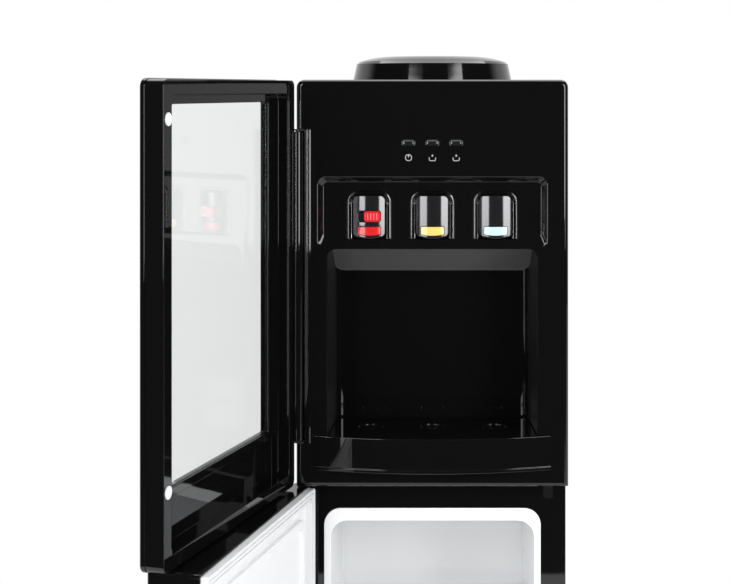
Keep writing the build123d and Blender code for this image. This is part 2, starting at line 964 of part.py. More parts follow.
save(drip_plate.part, "drip_plate")


# =====================================================================================
# Upper door, drawn closed and then swung open
# =====================================================================================
door_inner = front - door_clear
door_outer = door_inner - door_thickness
seam_y = door_outer + panel_thickness
window_floor = door_inner - window_depth
window_half = half_width - window_margin
glass_back = window_floor - door_floor - running_fit
glass_front = glass_back - glass_thickness
seam_step = 0.8
door_edge = 2.5
tray_room = 3.0
pocket_half_width = tray_half + 2.0
pocket_wall = 1.5
upper_axis = Axis((upper_axis_x, upper_axis_y, 0), (0, 0, 1))
lower_axis = Axis((lower_axis_x, lower_axis_y, 0), (0, 0, 1))

with BuildPart() as upper_door_panel:
    slab(-half_width, half_width, bezel_floor, body_height, bezel_corner, door_outer, seam_y)
    fillet(upper_door_panel.faces().sort_by(Axis.Y)[0].edges(), door_edge)
    slab(
        -half_width + panel_skin,
        half_width - panel_skin,
        bezel_floor + panel_skin,
        body_height - panel_skin,
        bezel_corner - panel_skin,
        door_outer + panel_skin,
        seam_y,
        mode=Mode.SUBTRACT,
    )
    slab(
        -window_half - glass_lap,
        window_half + glass_lap,
        window_bottom - glass_lap,
        window_top + glass_lap,
        glass_lap,
        door_outer,
        glass_front - running_fit,
    )
    slab(
        -window_half,
        window_half,
        window_bottom,
        window_top,
        door_edge,
        door_outer,
        glass_front,
        mode=Mode.SUBTRACT,
    )
save(upper_door_panel.part.rotate(upper_axis, -upper_open), "upper_door_panel")

with BuildPart() as upper_door_frame:
    slab(
        -half_width + seam_step,
        half_width - seam_step,
        bezel_floor + seam_step,
        body_height - seam_step,
        bezel_corner - seam_step,
        seam_y,
        door_inner,
    )
    fillet(upper_door_frame.faces().sort_by(Axis.Y)[-1].edges(), seam_step)
    box_between(
        -pocket_half_width - pocket_wall,
        pocket_half_width + pocket_wall,
        door_inner - pocket_depth - pocket_wall,
        seam_y,
        bezel_floor + rim_width - pocket_wall,
        tray_top + tray_room + pocket_wall,
    )
    slab(
        -half_width + rim_width,
        half_width - rim_width,
        bezel_floor + rim_width,
        body_height - rim_width,
        bezel_corner,
        window_floor,
        door_inner,
        mode=Mode.SUBTRACT,
    )
    box_between(
        -pocket_half_width,
        pocket_half_width,
        door_inner - pocket_depth,
        door_inner,
        bezel_floor + rim_width,
        tray_top + tray_room,
        mode=Mode.SUBTRACT,
    )
    slab(
        -window_half - glass_lap,
        window_half + glass_lap,
        window_bottom - glass_lap,
        window_top + glass_lap,
        glass_lap,
        seam_y,
        window_floor - door_floor,
        mode=Mode.SUBTRACT,
    )
    slab(
        -window_half,
        window_half,
        window_bottom,
        window_top,
        door_edge,
        seam_y,
        window_floor,
        mode=Mode.SUBTRACT,
    )
    with BuildSketch(Plane.XY.offset(barrel_bottom)):
        with Locations((upper_axis_x, upper_axis_y)):
            Circle(barrel_radius)
    extrude(amount=barrel_top - barrel_bottom)
    for pintle_foot in (barrel_bottom, barrel_top - pintle_length):
        with BuildSketch(Plane.XY.offset(pintle_foot)):
            with Locations((upper_axis_x, upper_axis_y)):
                Circle(pintle_radius + running_fit)
        extrude(amount=pintle_length, mode=Mode.SUBTRACT)
    with BuildSketch(front_plane(door_inner)):
        for bumper_z in bumper_heights:
            with Locations((half_width - bumper_inset, bumper_z)):
                Circle(bumper_radius + running_fit)
    extrude(amount=bumper_seat, mode=Mode.SUBTRACT)
save(upper_door_frame.part.rotate(upper_axis, -upper_open), "upper_door_frame")

with BuildPart() as upper_door_glass:
    slab(
        -window_half - glass_lap + fit,
        window_half + glass_lap - fit,
        window_bottom - glass_lap + fit,
        window_top + glass_lap - fit,
        glass_lap,
        glass_front,
        glass_back,
    )
save(upper_door_glass.part.rotate(upper_axis, -upper_open), "upper_door_glass")

with BuildPart() as door_bumpers:
    with BuildSketch(front_plane(door_inner + bumper_proud)):
        for bumper_z in bumper_heights:
            with Locations((half_width - bumper_inset, bumper_z)):
                Circle(bumper_radius)
    extrude(amount=bumper_seat + bumper_proud)
save(door_bumpers.part.rotate(upper_axis, -upper_open), "door_bumpers")

bracket_thickness = 1.9
ear_radius = hinge_back + door_clear - fit
with BuildPart() as upper_hinge_brackets:
    bottom_plate = notch_bottom
    top_plate = notch_top - bracket_thickness
    for plate_z, pintle_z in ((bottom_plate, notch_bottom), (top_plate, barrel_top - pintle_length + 1)):
        with BuildSketch(Plane.XY.offset(plate_z)):
            with Locations((upper_axis_x, upper_axis_y)):
                Circle(ear_radius)
            with Locations(((upper_axis_x + notch_side) / 2, upper_axis_y)):
                Rectangle(notch_side - upper_axis_x, 2 * ear_radius)
        extrude(amount=bracket_thickness)
        with BuildSketch(Plane.XY.offset(pintle_z)):
            with Locations((upper_axis_x, upper_axis_y)):
                Circle(pintle_radius)
        extrude(amount=notch_top - barrel_top + pintle_length - 1)
save(upper_hinge_brackets.part, "upper_hinge_brackets")

# =====================================================================================
# Lower door, drawn closed and then swung open
# =====================================================================================
lower_inner = cabinet_front - gasket_gap
lower_top = bezel_floor - door_gap
lower_bottom = plinth_height + door_gap + 1
liner_sheet = 2.5
bush = 3 * lower_pin_radius
door_inside = half_width - shell_wall

with BuildPart() as lower_door_shell:
    slab(-half_width, half_width, lower_bottom, lower_top, bezel_corner / 2, door_outer, lower_inner)
    fillet(lower_door_shell.faces().sort_by(Axis.Y)[0].edges(), door_edge)
    slab(
        -door_inside,
        door_inside,
        lower_bottom + shell_wall,
        lower_top - shell_wall,
        bezel_corner / 4,
        door_outer + shell_wall,
        lower_inner,
        mode=Mode.SUBTRACT,
    )
    for bush_bottom, bush_top in (
        (lower_bottom, lower_bottom + lower_pin_reach + shell_wall),
        (lower_top - lower_pin_reach - shell_wall, lower_top),
    ):
        box_between(
            -half_width,
            lower_axis_x + bush,
            lower_axis_y - bush,
            lower_inner - liner_sheet,
            bush_bottom,
            bush_top,
        )
    for bore_bottom in (lower_bottom, lower_top - lower_pin_reach):
        with BuildSketch(Plane.XY.offset(bore_bottom)):
            with Locations((lower_axis_x, lower_axis_y)):
                Circle(lower_pin_radius + running_fit)
        extrude(amount=lower_pin_reach, mode=Mode.SUBTRACT)
save(lower_door_shell.part.rotate(lower_axis, -lower_open), "lower_door_shell")

with BuildPart() as lower_door_foam:
    slab(
        -door_inside + fit,
        door_inside - fit,
        lower_bottom + shell_wall + fit,
        lower_top - shell_wall - fit,
        bezel_corner / 4,
        door_outer + shell_wall + fit,
        lower_inner - liner_sheet,
    )
    for bush_bottom, bush_top in (
        (lower_bottom, lower_bottom + lower_pin_reach + shell_wall + fit),
        (lower_top - lower_pin_reach - shell_wall - fit, lower_top),
    ):
        box_between(
            -half_width,
            lower_axis_x + bush + fit,
            lower_axis_y - bush - fit,
            lower_inner,
            bush_bottom,
            bush_top,
            mode=Mode.SUBTRACT,
        )
save(lower_door_foam.part.rotate(lower_axis, -lower_open), "lower_door_foam")

panel_side = half_width - liner_panel_inset
panel_low = lower_bottom + liner_panel_inset
panel_high = lower_top - liner_panel_inset
panel_band = 9.0
with BuildPart() as lower_door_liner:
    slab(
        -door_inside + fit,
        door_inside - fit,
        lower_bottom + shell_wall + fit,
        lower_top - shell_wall - fit,
        bezel_corner / 4,
        lower_inner - liner_sheet,
        lower_inner,
    )
    slab(
        -panel_side,
        panel_side,
        panel_low,
        panel_high,
        liner_panel_corner,
        lower_inner,
        lower_inner + liner_panel_rise,
    )
    slab(
        -panel_side + panel_band,
        panel_side - panel_band,
        panel_low + panel_band,
        panel_high - panel_band,
        liner_panel_corner - panel_band / 2,
        lower_inner + liner_sheet / 2,
        lower_inner + liner_panel_rise,
        mode=Mode.SUBTRACT,
    )
save(lower_door_liner.part.rotate(lower_axis, -lower_open), "lower_door_liner")

gasket_outer = half_width - gasket_inset
gasket_face = flange_front - gasket_clear
with BuildPart() as lower_door_gasket:
    slab(
        -gasket_outer,
        gasket_outer,
        lower_bottom + gasket_inset,
        lower_top - gasket_inset,
        bezel_corner / 2,
        lower_inner,
        gasket_face,
    )
    slab(
        -gasket_outer + gasket_width,
        gasket_outer - gasket_width,
        lower_bottom + gasket_inset + gasket_width,
        lower_top - gasket_inset - gasket_width,
        bezel_corner / 4,
        lower_inner,
        gasket_face,
        mode=Mode.SUBTRACT,
    )
    groove = gasket_width / 4
    for ring in (1.0, 2.4):
        step = ring * groove
        with BuildSketch(front_plane(gasket_face)):
            with Locations((0, (lower_bottom + lower_top) / 2)):
                Rectangle(
                    2 * (gasket_outer - step), lower_top - lower_bottom - 2 * (gasket_inset + step)
                )
                Rectangle(
                    2 * (gasket_outer - step - groove / 2),
                    lower_top - lower_bottom - 2 * (gasket_inset + step + groove / 2),
                    mode=Mode.SUBTRACT,
                )
        extrude(amount=groove / 2, mode=Mode.SUBTRACT)
save(lower_door_gasket.part.rotate(lower_axis, -lower_open), "lower_door_gasket")

pin_gap = 1.0
with BuildPart() as lower_hinge_pins:
    for pin_bottom, pin_top in (
        (plinth_height - lower_pin_reach, lower_bottom + lower_pin_reach - pin_gap),
        (lower_top - lower_pin_reach + pin_gap, bezel_floor + lower_pin_reach),
    ):
        with BuildSketch(Plane.XY.offset(pin_bottom)):
            with Locations((lower_axis_x, lower_axis_y)):
                Circle(lower_pin_radius)
        extrude(amount=pin_top - pin_bottom)
save(lower_hinge_pins.part, "lower_hinge_pins")

catch_side = 21.0             # from the side of the body
catch_x = half_width - catch_side
catch_width = 12.0
catch_drop = 9.4              # below the bezel
catch_top = bezel_floor - catch_drop
catch_height = 14.0
catch_thickness = 1.0
with BuildPart() as door_catch:
    slab(
        catch_x - catch_width / 2,
        catch_x + catch_width / 2,
        catch_top - catch_height,
        catch_top,
        2.0,
        cabinet_front - catch_thickness,
        cabinet_front,
    )
save(door_catch.part, "door_catch")

# =====================================================================================
# Bottle seat
# =====================================================================================
with BuildPart() as bottle_seat:
    with BuildSketch(Plane.XZ):
        with BuildLine():
            Polyline(
                (seat_radius, body_height),
                (seat_shoulder_radius, body_height + seat_shoulder),
                (seat_slope_radius, body_height + seat_slope),
            )
            ThreePointArc(
                (seat_slope_radius, body_height + seat_slope),
                ((seat_slope_radius + seat_rim_radius) / 2, body_height + (seat_slope + seat_rim) / 2 + 1.0),
                (seat_rim_radius, body_height + seat_rim),
            )
            Polyline(
                (seat_rim_radius, body_height + seat_rim),
                (funnel_radius, body_height + funnel_floor),
                (funnel_radius, body_height + well_floor),
                (0, body_height + well_floor),
                (0, body_height + well_floor - seat_wall),
                (funnel_radius + seat_wall, body_height + well_floor - seat_wall),
                (funnel_radius + seat_wall, body_height + funnel_floor - seat_wall / 2),
                (seat_rim_radius + seat_wall / 2, body_height + seat_rim - seat_wall),
                (seat_slope_radius - seat_wall / 2, body_height + seat_slope - seat_wall),
                (seat_shoulder_radius - seat_wall, body_height + seat_shoulder - seat_wall / 2),
                (seat_radius - seat_wall, body_height),
                (seat_radius, body_height),
            )
        make_face()
    revolve(axis=Axis.Z)
save(bottle_seat.part, "bottle_seat")

probe_foot = body_height + well_floor
probe_flange = 14.0
with BuildPart() as bottle_probe:
    with BuildSketch(Plane.XZ):
        with BuildLine():
            Polyline(
                (probe_bore, probe_foot),
                (probe_flange, probe_foot),
                (probe_flange, probe_foot + seat_wall),
                (probe_radius, probe_foot + seat_wall),
                (probe_radius, probe_foot + probe_height),
                (0, probe_foot + probe_height),
                (0, probe_foot + probe_height - seat_wall),
                (probe_bore, probe_foot + probe_height - seat_wall),
                close=True,
            )
        make_face()
    revolve(axis=Axis.Z)
    for turn in (0, 90):
        with Locations((0, 0, probe_foot + probe_height - 3 * seat_wall)):
            Cylinder(probe_bore / 2, 3 * probe_radius, rotation=(90, 0, turn), mode=Mode.SUBTRACT)
save(bottle_probe.part, "bottle_probe")

# =====================================================================================
# Tanks and hoses
# =====================================================================================
seal_clear = 0.3
seal_height = 2.0
seal_lip = 2.0                # outside the mouth of the tank
mouth_room = 4.5
mouth_radius = funnel_radius + seat_wall + mouth_room
stub_reach = 20.0
cold_stub = (30.0, -18.0)
warm_stub = (-28.0, -24.0)
feed_stub = (25.0, hot_y)
stub_foot = cold_bottom - stub_reach
cold_foam_radius = cold_radius + cold_foam_wall

tank_shoulder = 8.0
with BuildPart() as cold_tank:
    with BuildSketch(Plane.XZ):
        with BuildLine():
            Polyline(
                (0, cold_bottom),
                (cold_radius - tank_shoulder, cold_bottom),
                (cold_radius, cold_bottom + tank_shoulder),
                (cold_radius, cold_top),
                (mouth_radius, cold_top),
                (mouth_radius, cold_top - tank_wall),
                (cold_radius - tank_wall, cold_top - tank_wall),
                (cold_radius - tank_wall, cold_bottom + tank_shoulder + tank_wall / 2),
                (cold_radius - tank_shoulder - tank_wall / 2, cold_bottom + tank_wall),
                (0, cold_bottom + tank_wall),
                close=True,
            )
        make_face()
    revolve(axis=Axis.Z)
    with BuildSketch(Plane.XY.offset(stub_foot)):
        with Locations(cold_stub, warm_stub, feed_stub):
            Circle(hose_radius)
    extrude(amount=stub_reach + tank_wall / 2)
    with BuildSketch(Plane.XY.offset(stub_foot)):
        with Locations(cold_stub, warm_stub, feed_stub):
            Circle(hose_radius - tank_wall)
    extrude(amount=stub_reach + 2 * tank_wall, mode=Mode.SUBTRACT)
save(cold_tank.part, "cold_tank")

with BuildPart() as cold_tank_foam:
    with BuildSketch(Plane.XY.offset(stub_foot)):
        Circle(cold_foam_radius)
        with Locations(cold_stub, warm_stub, feed_stub):
            Circle(hose_radius + fit, mode=Mode.SUBTRACT)
    extrude(amount=cold_top - stub_foot)
    with BuildSketch(Plane.XY.offset(cold_bottom - fit)):
        Circle(cold_radius + fit)
    extrude(amount=cold_top - cold_bottom + fit, mode=Mode.SUBTRACT)
save(cold_tank_foam.part, "cold_tank_foam")

seal_inner = funnel_radius + seat_wall + seal_clear
seal_outer = mouth_radius + seal_lip
with BuildPart() as seat_seal:
    with BuildSketch(Plane.XZ) as seal_section:
        with Locations(((seal_inner + seal_outer) / 2, cold_top + seal_height / 2)):
            Rectangle(seal_outer - seal_inner, seal_height)
        chamfer(seal_section.vertices(), seal_height / 4)
    revolve(axis=Axis.Z)
save(seat_seal.part, "seat_seal")

shelf_lip = 16.0
with BuildPart() as tank_shelf:
    with BuildSketch(Plane.XY.offset(stub_foot - sheet)):
        Rectangle(2 * panel_half, 2 * cold_foam_radius)
        with Locations(cold_stub, warm_stub, feed_stub):
            Circle(2 * hose_radius, mode=Mode.SUBTRACT)
    extrude(amount=sheet)
    for side in (-1, 1):
        with Locations((side * (panel_half - sheet / 2), 0, stub_foot - shelf_lip / 2)):
            Box(sheet, 2 * cold_foam_radius, shelf_lip)
save(tank_shelf.part, "tank_shelf")

stand_height = 26.0
hot_bottom = deck + stand_height
hot_top = hot_bottom + hot_height
hot_dome = 18.0
inlet_z = hot_bottom + 1.4 * hot_dome
hot_stub = 12.0
with BuildPart() as hot_tank:
    with Locations((hot_x, hot_y, hot_bottom)):
        Cylinder(hot_radius, hot_height, align=(Align.CENTER, Align.CENTER, Align.MIN))
    fillet(hot_tank.edges().filter_by(GeomType.CIRCLE), hot_dome)
    with BuildSketch(Plane.XY.offset(deck)):
        with Locations((hot_x, hot_y)):
            Circle(hot_radius * 0.8)
            Circle(hot_radius * 0.8 - 2 * sheet, mode=Mode.SUBTRACT)
    extrude(amount=stand_height + hot_dome / 2)
    with Locations((hot_x, hot_y, hot_top - 1)):
        Cylinder(hose_radius, hot_stub, align=(Align.CENTER, Align.CENTER, Align.MIN))
    with BuildSketch(side_plane(hot_x)):
        with Locations((hot_y, inlet_z)):
            Circle(hose_radius)
    extrude(amount=hot_radius + hot_stub)
save(hot_tank.part, "hot_tank")

with BuildPart() as heater_band:
    with BuildSketch(Plane.XY.offset(hot_bottom + hot_height / 2)):
        with Locations((hot_x, hot_y)):
            Circle(hot_radius + fit + heater_thickness)
            Circle(hot_radius + fit, mode=Mode.SUBTRACT)
        with Locations((hot_x, hot_y - hot_radius - heater_thickness * 2)):
            Rectangle(heater_width, heater_thickness * 3)
    extrude(amount=heater_width)
    with Locations((hot_x, hot_y, hot_bottom)):
        Cylinder(hot_radius + fit, 3 * hot_height, mode=Mode.SUBTRACT)
save(heater_band.part, "heater_band")


def hose(name, points, bend):
    """A tube that follows straight runs joined by bends."""
    with BuildPart() as tube:
        with BuildLine() as route:
            FilletPolyline(*points, radius=bend)
        with BuildSketch(Plane(origin=points[0], z_dir=Vector(*points[1]) - Vector(*points[0]))):
            Circle(hose_radius)
            Circle(hose_radius - tank_wall, mode=Mode.SUBTRACT)
        sweep(path=route.wires()[0])
    save(tube.part, name)


hose_bend = 12.0
tap_stub_y = tap_back + stub_length
drop_y = tap_stub_y + hose_bend
low_run = stub_foot - 2 * hose_bend
hose(
    "hose_cold",
    (
        (tap_pitch, tap_stub_y, stub_z),
        (tap_pitch, drop_y, stub_z),
        (tap_pitch, drop_y, low_run),
        (cold_stub[0], cold_stub[1], low_run),
        (cold_stub[0], cold_stub[1], stub_foot),
    ),
    hose_bend * 0.9,
)
hose(
    "hose_warm",
    (
        (0, tap_stub_y, stub_z),
        (0, drop_y, stub_z),
        (0, drop_y, low_run),
        (warm_stub[0], warm_stub[1], low_run),
        (warm_stub[0], warm_stub[1], stub_foot),
    ),
    hose_bend * 0.9,
)
hose(
    "hose_hot",
    (
        (-tap_pitch, tap_stub_y, stub_z),
        (-tap_pitch, drop_y, stub_z),
        (-tap_pitch, drop_y, low_run),
        (hot_x, hot_y, low_run - 2 * hose_bend),
        (hot_x, hot_y, hot_top - 1 + hot_stub),
    ),
    hose_bend * 0.9,
)
hose(
    "hose_feed",
    (
        (hot_x + hot_radius + hot_stub, hot_y, inlet_z),
        (feed_stub[0], feed_stub[1], inlet_z),
        (feed_stub[0], feed_stub[1], stub_foot),
    ),
    hose_bend,
)

# =====================================================================================
# Electrics
# =====================================================================================
board_wide = 76.0
board_tall = 110.0
board_stand = 8.0
board_side = 20.5             # from the casing's side
board_x = panel_half - board_side - board_wide / 2
relay = 16.0
transformer_wide = 20.0
transformer_tall = 26.0
terminal_wide = 30.0
terminal_tall = 18.0
with BuildPart() as control_board:
    box_between(
        board_x - board_wide / 2,
        board_x + board_wide / 2,
        deck_back - sheet - board_stand - board_thickness,
        deck_back - sheet - board_stand,
        deck + casing_lip,
        deck + casing_lip + board_tall,
    )
    for column, row, wide, tall in (
        (-1, 0.7, transformer_wide, transformer_tall),
        (1, 0.68, relay, relay),
        (0.1, 0.3, terminal_wide, terminal_tall),
    ):
        part_x = board_x + column * board_wide / 4
        part_z = deck + casing_lip + row * board_tall
        box_between(
            part_x - wide / 2,
            part_x + wide / 2,
            deck_back - sheet - board_stand - board_thickness - wide / 2,
            deck_back - sheet - board_stand - board_thickness,
            part_z - tall / 2,
            part_z + tall / 2,
        )
    for column in (-1, 1):
        for row in (0.08, 0.92):
            with BuildSketch(front_plane(deck_back + fit)):
                with Locations((board_x + column * board_wide * 0.44, deck + casing_lip + row * board_tall)):
                    Circle(boss_radius)
            extrude(amount=board_stand + sheet + fit)
save(control_board.part, "control_board")

switch_lip = 2.0
housing_depth = 12.0
rocker_clear = 1.0
switch_names = ("switch_hot", "switch_cold")
rocker_pin = 1.4
rocker_axis_y = rear_face - 1.0
rocker_half = switch_height / 2 - switch_lip - rocker_clear
rocker_rise = 3.2
with BuildPart() as switch_housings:
    for x in switch_x:
        box_between(
            x - switch_width / 2,
            x + switch_width / 2,
            rear_face - housing_depth,
            rear_face,
            switch_z - switch_height / 2,
            switch_z + switch_height / 2,
        )
        box_between(
            x - switch_width / 2 - switch_lip,
            x + switch_width / 2 + switch_lip,
            rear_face,
            rear_face + switch_lip,
            switch_z - switch_height / 2 - switch_lip,
            switch_z + switch_height / 2 + switch_lip,
        )
        box_between(
            x - switch_width / 2 + switch_lip,
            x + switch_width / 2 - switch_lip,
            rear_face - housing_depth + switch_lip,
            rear_face + switch_lip,
            switch_z - switch_height / 2 + switch_lip,
            switch_z + switch_height / 2 - switch_lip,
            mode=Mode.SUBTRACT,
        )
        with BuildSketch(side_plane(x - switch_width / 2 + switch_lip / 2)):
            with Locations((rocker_axis_y, switch_z)):
                Circle(rocker_pin + running_fit)
        extrude(amount=switch_width - switch_lip, mode=Mode.SUBTRACT)
save(switch_housings.part, "switch_housings")


def rocker(x):
    """Rocker key with a shallow valley across its face and a pivot pin through it."""
    key_half = switch_width / 2 - switch_lip - fit
    with BuildPart() as key:
        with BuildSketch(side_plane(x - key_half)):
            with BuildLine():
                Polyline(
                    (rear_face + rocker_rise, switch_z - rocker_half),
                    (rear_face + rocker_rise - 1.6, switch_z),
                    (rear_face + rocker_rise, switch_z + rocker_half),
                    (rocker_axis_y - 2.0, switch_z + rocker_half - 2.4),
                    (rocker_axis_y - 3.6, switch_z),
                    (rocker_axis_y - 2.0, switch_z - rocker_half + 2.4),
                    close=True,
                )
            make_face()
        extrude(amount=2 * key_half)
        with BuildSketch(side_plane(x - switch_width / 2 + switch_lip / 2 + fit)):
            with Locations((rocker_axis_y, switch_z)):
                Circle(rocker_pin)
        extrude(amount=switch_width - switch_lip - 2 * fit)
    return key.part


for switch_name, x in zip(switch_names, switch_x):
    save(rocker(x), switch_name)

# =====================================================================================
# Refrigeration and the back
# =====================================================================================
compressor_x = -45.0
compressor_y = rear_face - compressor_gap - compressor_width / 2
foot_height = 10.0
foot_radius = 9.0
foot_spread_x = 66.0
foot_spread_y = 44.0
base_plate = 2.5
seam_wide = 3.0
relay_sunk = 12.0             # terminal cover at the compressor's right end
relay_proud = 18.0
relay_wide = 44.0
relay_tall = 46.0
relay_rise = 20.0
shell_foot = plinth_height + foot_height + base_plate
with BuildPart() as compressor:
    with BuildSketch(Plane.XY.offset(shell_foot)):
        with Locations((compressor_x, compressor_y)):
            Ellipse(compressor_length / 2, compressor_width / 2)
    extrude(amount=compressor_height)
    fillet(compressor.edges().filter_by(GeomType.ELLIPSE), compressor_height * 0.24)
    with BuildSketch(Plane.XY.offset(shell_foot + compressor_height * 0.52)):
        with Locations((compressor_x, compressor_y)):
            Ellipse(compressor_length / 2 + seam_wide, compressor_width / 2 + seam_wide)
    extrude(amount=seam_wide)
    with BuildSketch(Plane.XY.offset(shell_foot - base_plate)):
        with Locations((compressor_x, compressor_y)):
            RectangleRounded(
                2 * (foot_spread_x + foot_radius), 2 * (foot_spread_y + foot_radius), foot_radius
            )
    extrude(amount=2 * base_plate)
    box_between(
        compressor_x + compressor_length / 2 - relay_sunk,
        compressor_x + compressor_length / 2 + relay_proud,
        compressor_y - relay_wide / 2,
        compressor_y + relay_wide / 2,
        shell_foot + relay_rise,
        shell_foot + relay_rise + relay_tall,
    )
save(compressor.part, "compressor")

with BuildPart() as compressor_feet:
    with BuildSketch(Plane.XY.offset(plinth_height)):
        with Locations((compressor_x, compressor_y)):
            with GridLocations(2 * foot_spread_x, 2 * foot_spread_y, 2, 2):
                Circle(foot_radius * 0.8)
    extrude(amount=foot_height)
save(compressor_feet.part, "compressor_feet")

pass_pitch = (condenser_top - condenser_bottom) / (condenser_passes - 1)
bend_radius = pass_pitch / 2
condenser_y = rear - condenser_tube - 2 * condenser_wire - 1
run_half = condenser_half - bend_radius
wire_y = condenser_y + condenser_tube + condenser_wire * 0.6
bracket_width = 10.0
bracket_x = run_half - bracket_width
with BuildPart() as condenser:
    with BuildLine() as serpentine:
        for step in range(condenser_passes):
            z = condenser_bottom + step * pass_pitch
            turn = 1 if step % 2 == 0 else -1
            Line((-turn * run_half, condenser_y, z), (turn * run_half, condenser_y, z))
            if step < condenser_passes - 1:
                ThreePointArc(
                    (turn * run_half, condenser_y, z),
                    (turn * condenser_half, condenser_y, z + bend_radius),
                    (turn * run_half, condenser_y, z + pass_pitch),
                )
    with BuildSketch(Plane(origin=(-run_half, condenser_y, condenser_bottom), z_dir=(1, 0, 0))):
        Circle(condenser_tube)
    sweep(path=serpentine.wires()[0])
    with BuildSketch(Plane.XY.offset(condenser_bottom - 2 * condenser_tube)):
        with Locations((0, wire_y)):
            with GridLocations(2 * run_half / (condenser_wires - 1), 0, condenser_wires, 1):
                Rectangle(2 * condenser_wire, 2 * condenser_wire)
    extrude(amount=condenser_top - condenser_bottom + 4 * condenser_tube)
    for column in (-1, 1):
        for z in (condenser_bottom + pass_pitch, condenser_top - pass_pitch):
            box_between(
                column * bracket_x - bracket_width / 2,
                column * bracket_x + bracket_width / 2,
                rear_face,
                condenser_y,
                z - condenser_tube,
                z + condenser_tube,
            )
save(condenser.part, "condenser")

dryer_side = 52.0             # from the side of the body
dryer_x = half_width - dryer_side
dryer_radius = 8.0
dryer_length = 80.0
dryer_rise = 30.0
dryer_foot = plinth_height + dryer_rise
dryer_y = foam_back - 4 * dryer_radius
with BuildPart() as filter_dryer:
    with BuildSketch(Plane.XZ.offset(-dryer_y)):
        with BuildLine():
            Polyline(
                (0, plinth_height),
                (condenser_tube, plinth_height),
                (condenser_tube, dryer_foot),
                (dryer_radius, dryer_foot + dryer_radius),
                (dryer_radius, dryer_foot + dryer_length - dryer_radius),
                (condenser_tube, dryer_foot + dryer_length),
                (condenser_tube, bay_top - fit),
                (0, bay_top - fit),
                close=True,
            )
        make_face()
    revolve(axis=Axis((0, dryer_y, 0), (0, 0, 1)))
save(filter_dryer.part.translate((dryer_x, 0, 0)), "filter_dryer")

drain_side = 55.0             # from the side of the body
drain_x = half_width - drain_side
drain_rise = 26.0
drain_z = bay_top + drain_rise
drain_outer = 9.0
drain_bore = 6.0
spout_length = 12.0
cap_wall = 2.0
cap_cover = 9.0
with BuildPart() as drain_spout:
    with BuildSketch(front_plane(rear_face + 2.0)):
        with Locations((drain_x, drain_z)):
            Circle(drain_outer + 5)
            Circle(drain_bore, mode=Mode.SUBTRACT)
    extrude(amount=2.0)
    with BuildSketch(front_plane(rear_face + spout_length)):
        with Locations((drain_x, drain_z)):
            Circle(drain_outer)
            Circle(drain_bore, mode=Mode.SUBTRACT)
    extrude(amount=spout_length)
save(drain_spout.part, "drain_spout")

cap_face = rear_face + spout_length + cap_wall + fit
with BuildPart() as drain_cap:
    with BuildSketch(front_plane(cap_face)):
        with Locations((drain_x, drain_z)):
            Circle(drain_outer + cap_wall + running_fit)
    extrude(amount=cap_cover)
    with BuildSketch(front_plane(cap_face - cap_wall)):
        with Locations((drain_x, drain_z)):
            Circle(drain_outer + running_fit)
    extrude(amount=cap_cover, mode=Mode.SUBTRACT)
save(drain_cap.part, "drain_cap")

inlet_margin = 50.0           # from the side of the body
inlet_x = -half_width + inlet_margin
inlet_side = 11.0
inlet_length = 9.0
with BuildPart() as cord_inlet:
    with BuildSketch(front_plane(rear_face + inlet_length)):
        with Locations((inlet_x, drain_z)):
            Circle(inlet_side * 0.62)
            Circle(inlet_side * 0.36, mode=Mode.SUBTRACT)
    extrude(amount=inlet_length)
    with BuildSketch(front_plane(rear_face + 2.0)):
        with Locations((inlet_x, drain_z)):
            Circle(inlet_side)
            Circle(inlet_side * 0.36, mode=Mode.SUBTRACT)
    extrude(amount=2.0)
save(cord_inlet.part, "cord_inlet")
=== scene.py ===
from math import cos, pi, radians, sin

import bmesh
import bpy
from bpy.props import FloatProperty, FloatVectorProperty, PointerProperty
from bpy.types import NodeSocket, Operator, Panel, PropertyGroup
from mathutils import Matrix, Vector
from mathutils.bvhtree import BVHTree


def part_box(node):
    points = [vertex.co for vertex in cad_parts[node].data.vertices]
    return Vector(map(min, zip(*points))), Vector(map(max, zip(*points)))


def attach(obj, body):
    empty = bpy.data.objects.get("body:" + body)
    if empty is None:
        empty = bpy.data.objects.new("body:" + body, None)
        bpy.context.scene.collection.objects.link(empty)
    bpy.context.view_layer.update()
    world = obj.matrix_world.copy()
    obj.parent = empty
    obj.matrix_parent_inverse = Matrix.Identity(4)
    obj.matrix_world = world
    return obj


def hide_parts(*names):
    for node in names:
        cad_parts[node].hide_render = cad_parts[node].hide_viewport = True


bl_info = {
    "name": "Water Cooler Dresser",
    "version": (1, 0, 0),
    "blender": (4, 5, 0),
    "location": "View3D > Sidebar > Water Cooler",
    "description": "Dresses a three-tap water cooler: mouldings, taps, doors, cabinet and studio",
    "category": "Object",
}

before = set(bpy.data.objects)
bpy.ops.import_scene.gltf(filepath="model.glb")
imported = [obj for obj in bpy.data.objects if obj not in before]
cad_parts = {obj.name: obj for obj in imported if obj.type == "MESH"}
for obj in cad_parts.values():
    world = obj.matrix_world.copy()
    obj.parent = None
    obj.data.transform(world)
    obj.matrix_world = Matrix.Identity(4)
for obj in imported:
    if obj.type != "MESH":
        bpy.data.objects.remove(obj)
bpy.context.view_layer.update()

MM = 0.001
MERGE_DISTANCE = 0.002 * MM

# Angles between two faces: past the first their edge is rounded, under the second they are one flat
# face, and under the others they are shaded as one surface.
SHARP_EDGE = radians(32.0)
FLAT_FACE = radians(0.6)
SMOOTH_SHADE = radians(35.0)
LENS_SHADE = radians(50.0)

# Steps in a rounding, and how far from the skin, in radii, a corner counts as thrown off it.
SHEET_STEPS = 2
EDGE_STEPS = 3
BEZEL_STEPS = 4
RIM_STEPS = 5
THROWN_OFF = 0.75

# What the names of the finishes start with, because the frame brings plain materials of its own.
FINISH = "finish_"

# ---------------------------------------------------------------------------
# Sizes, colours and studio values
# ---------------------------------------------------------------------------


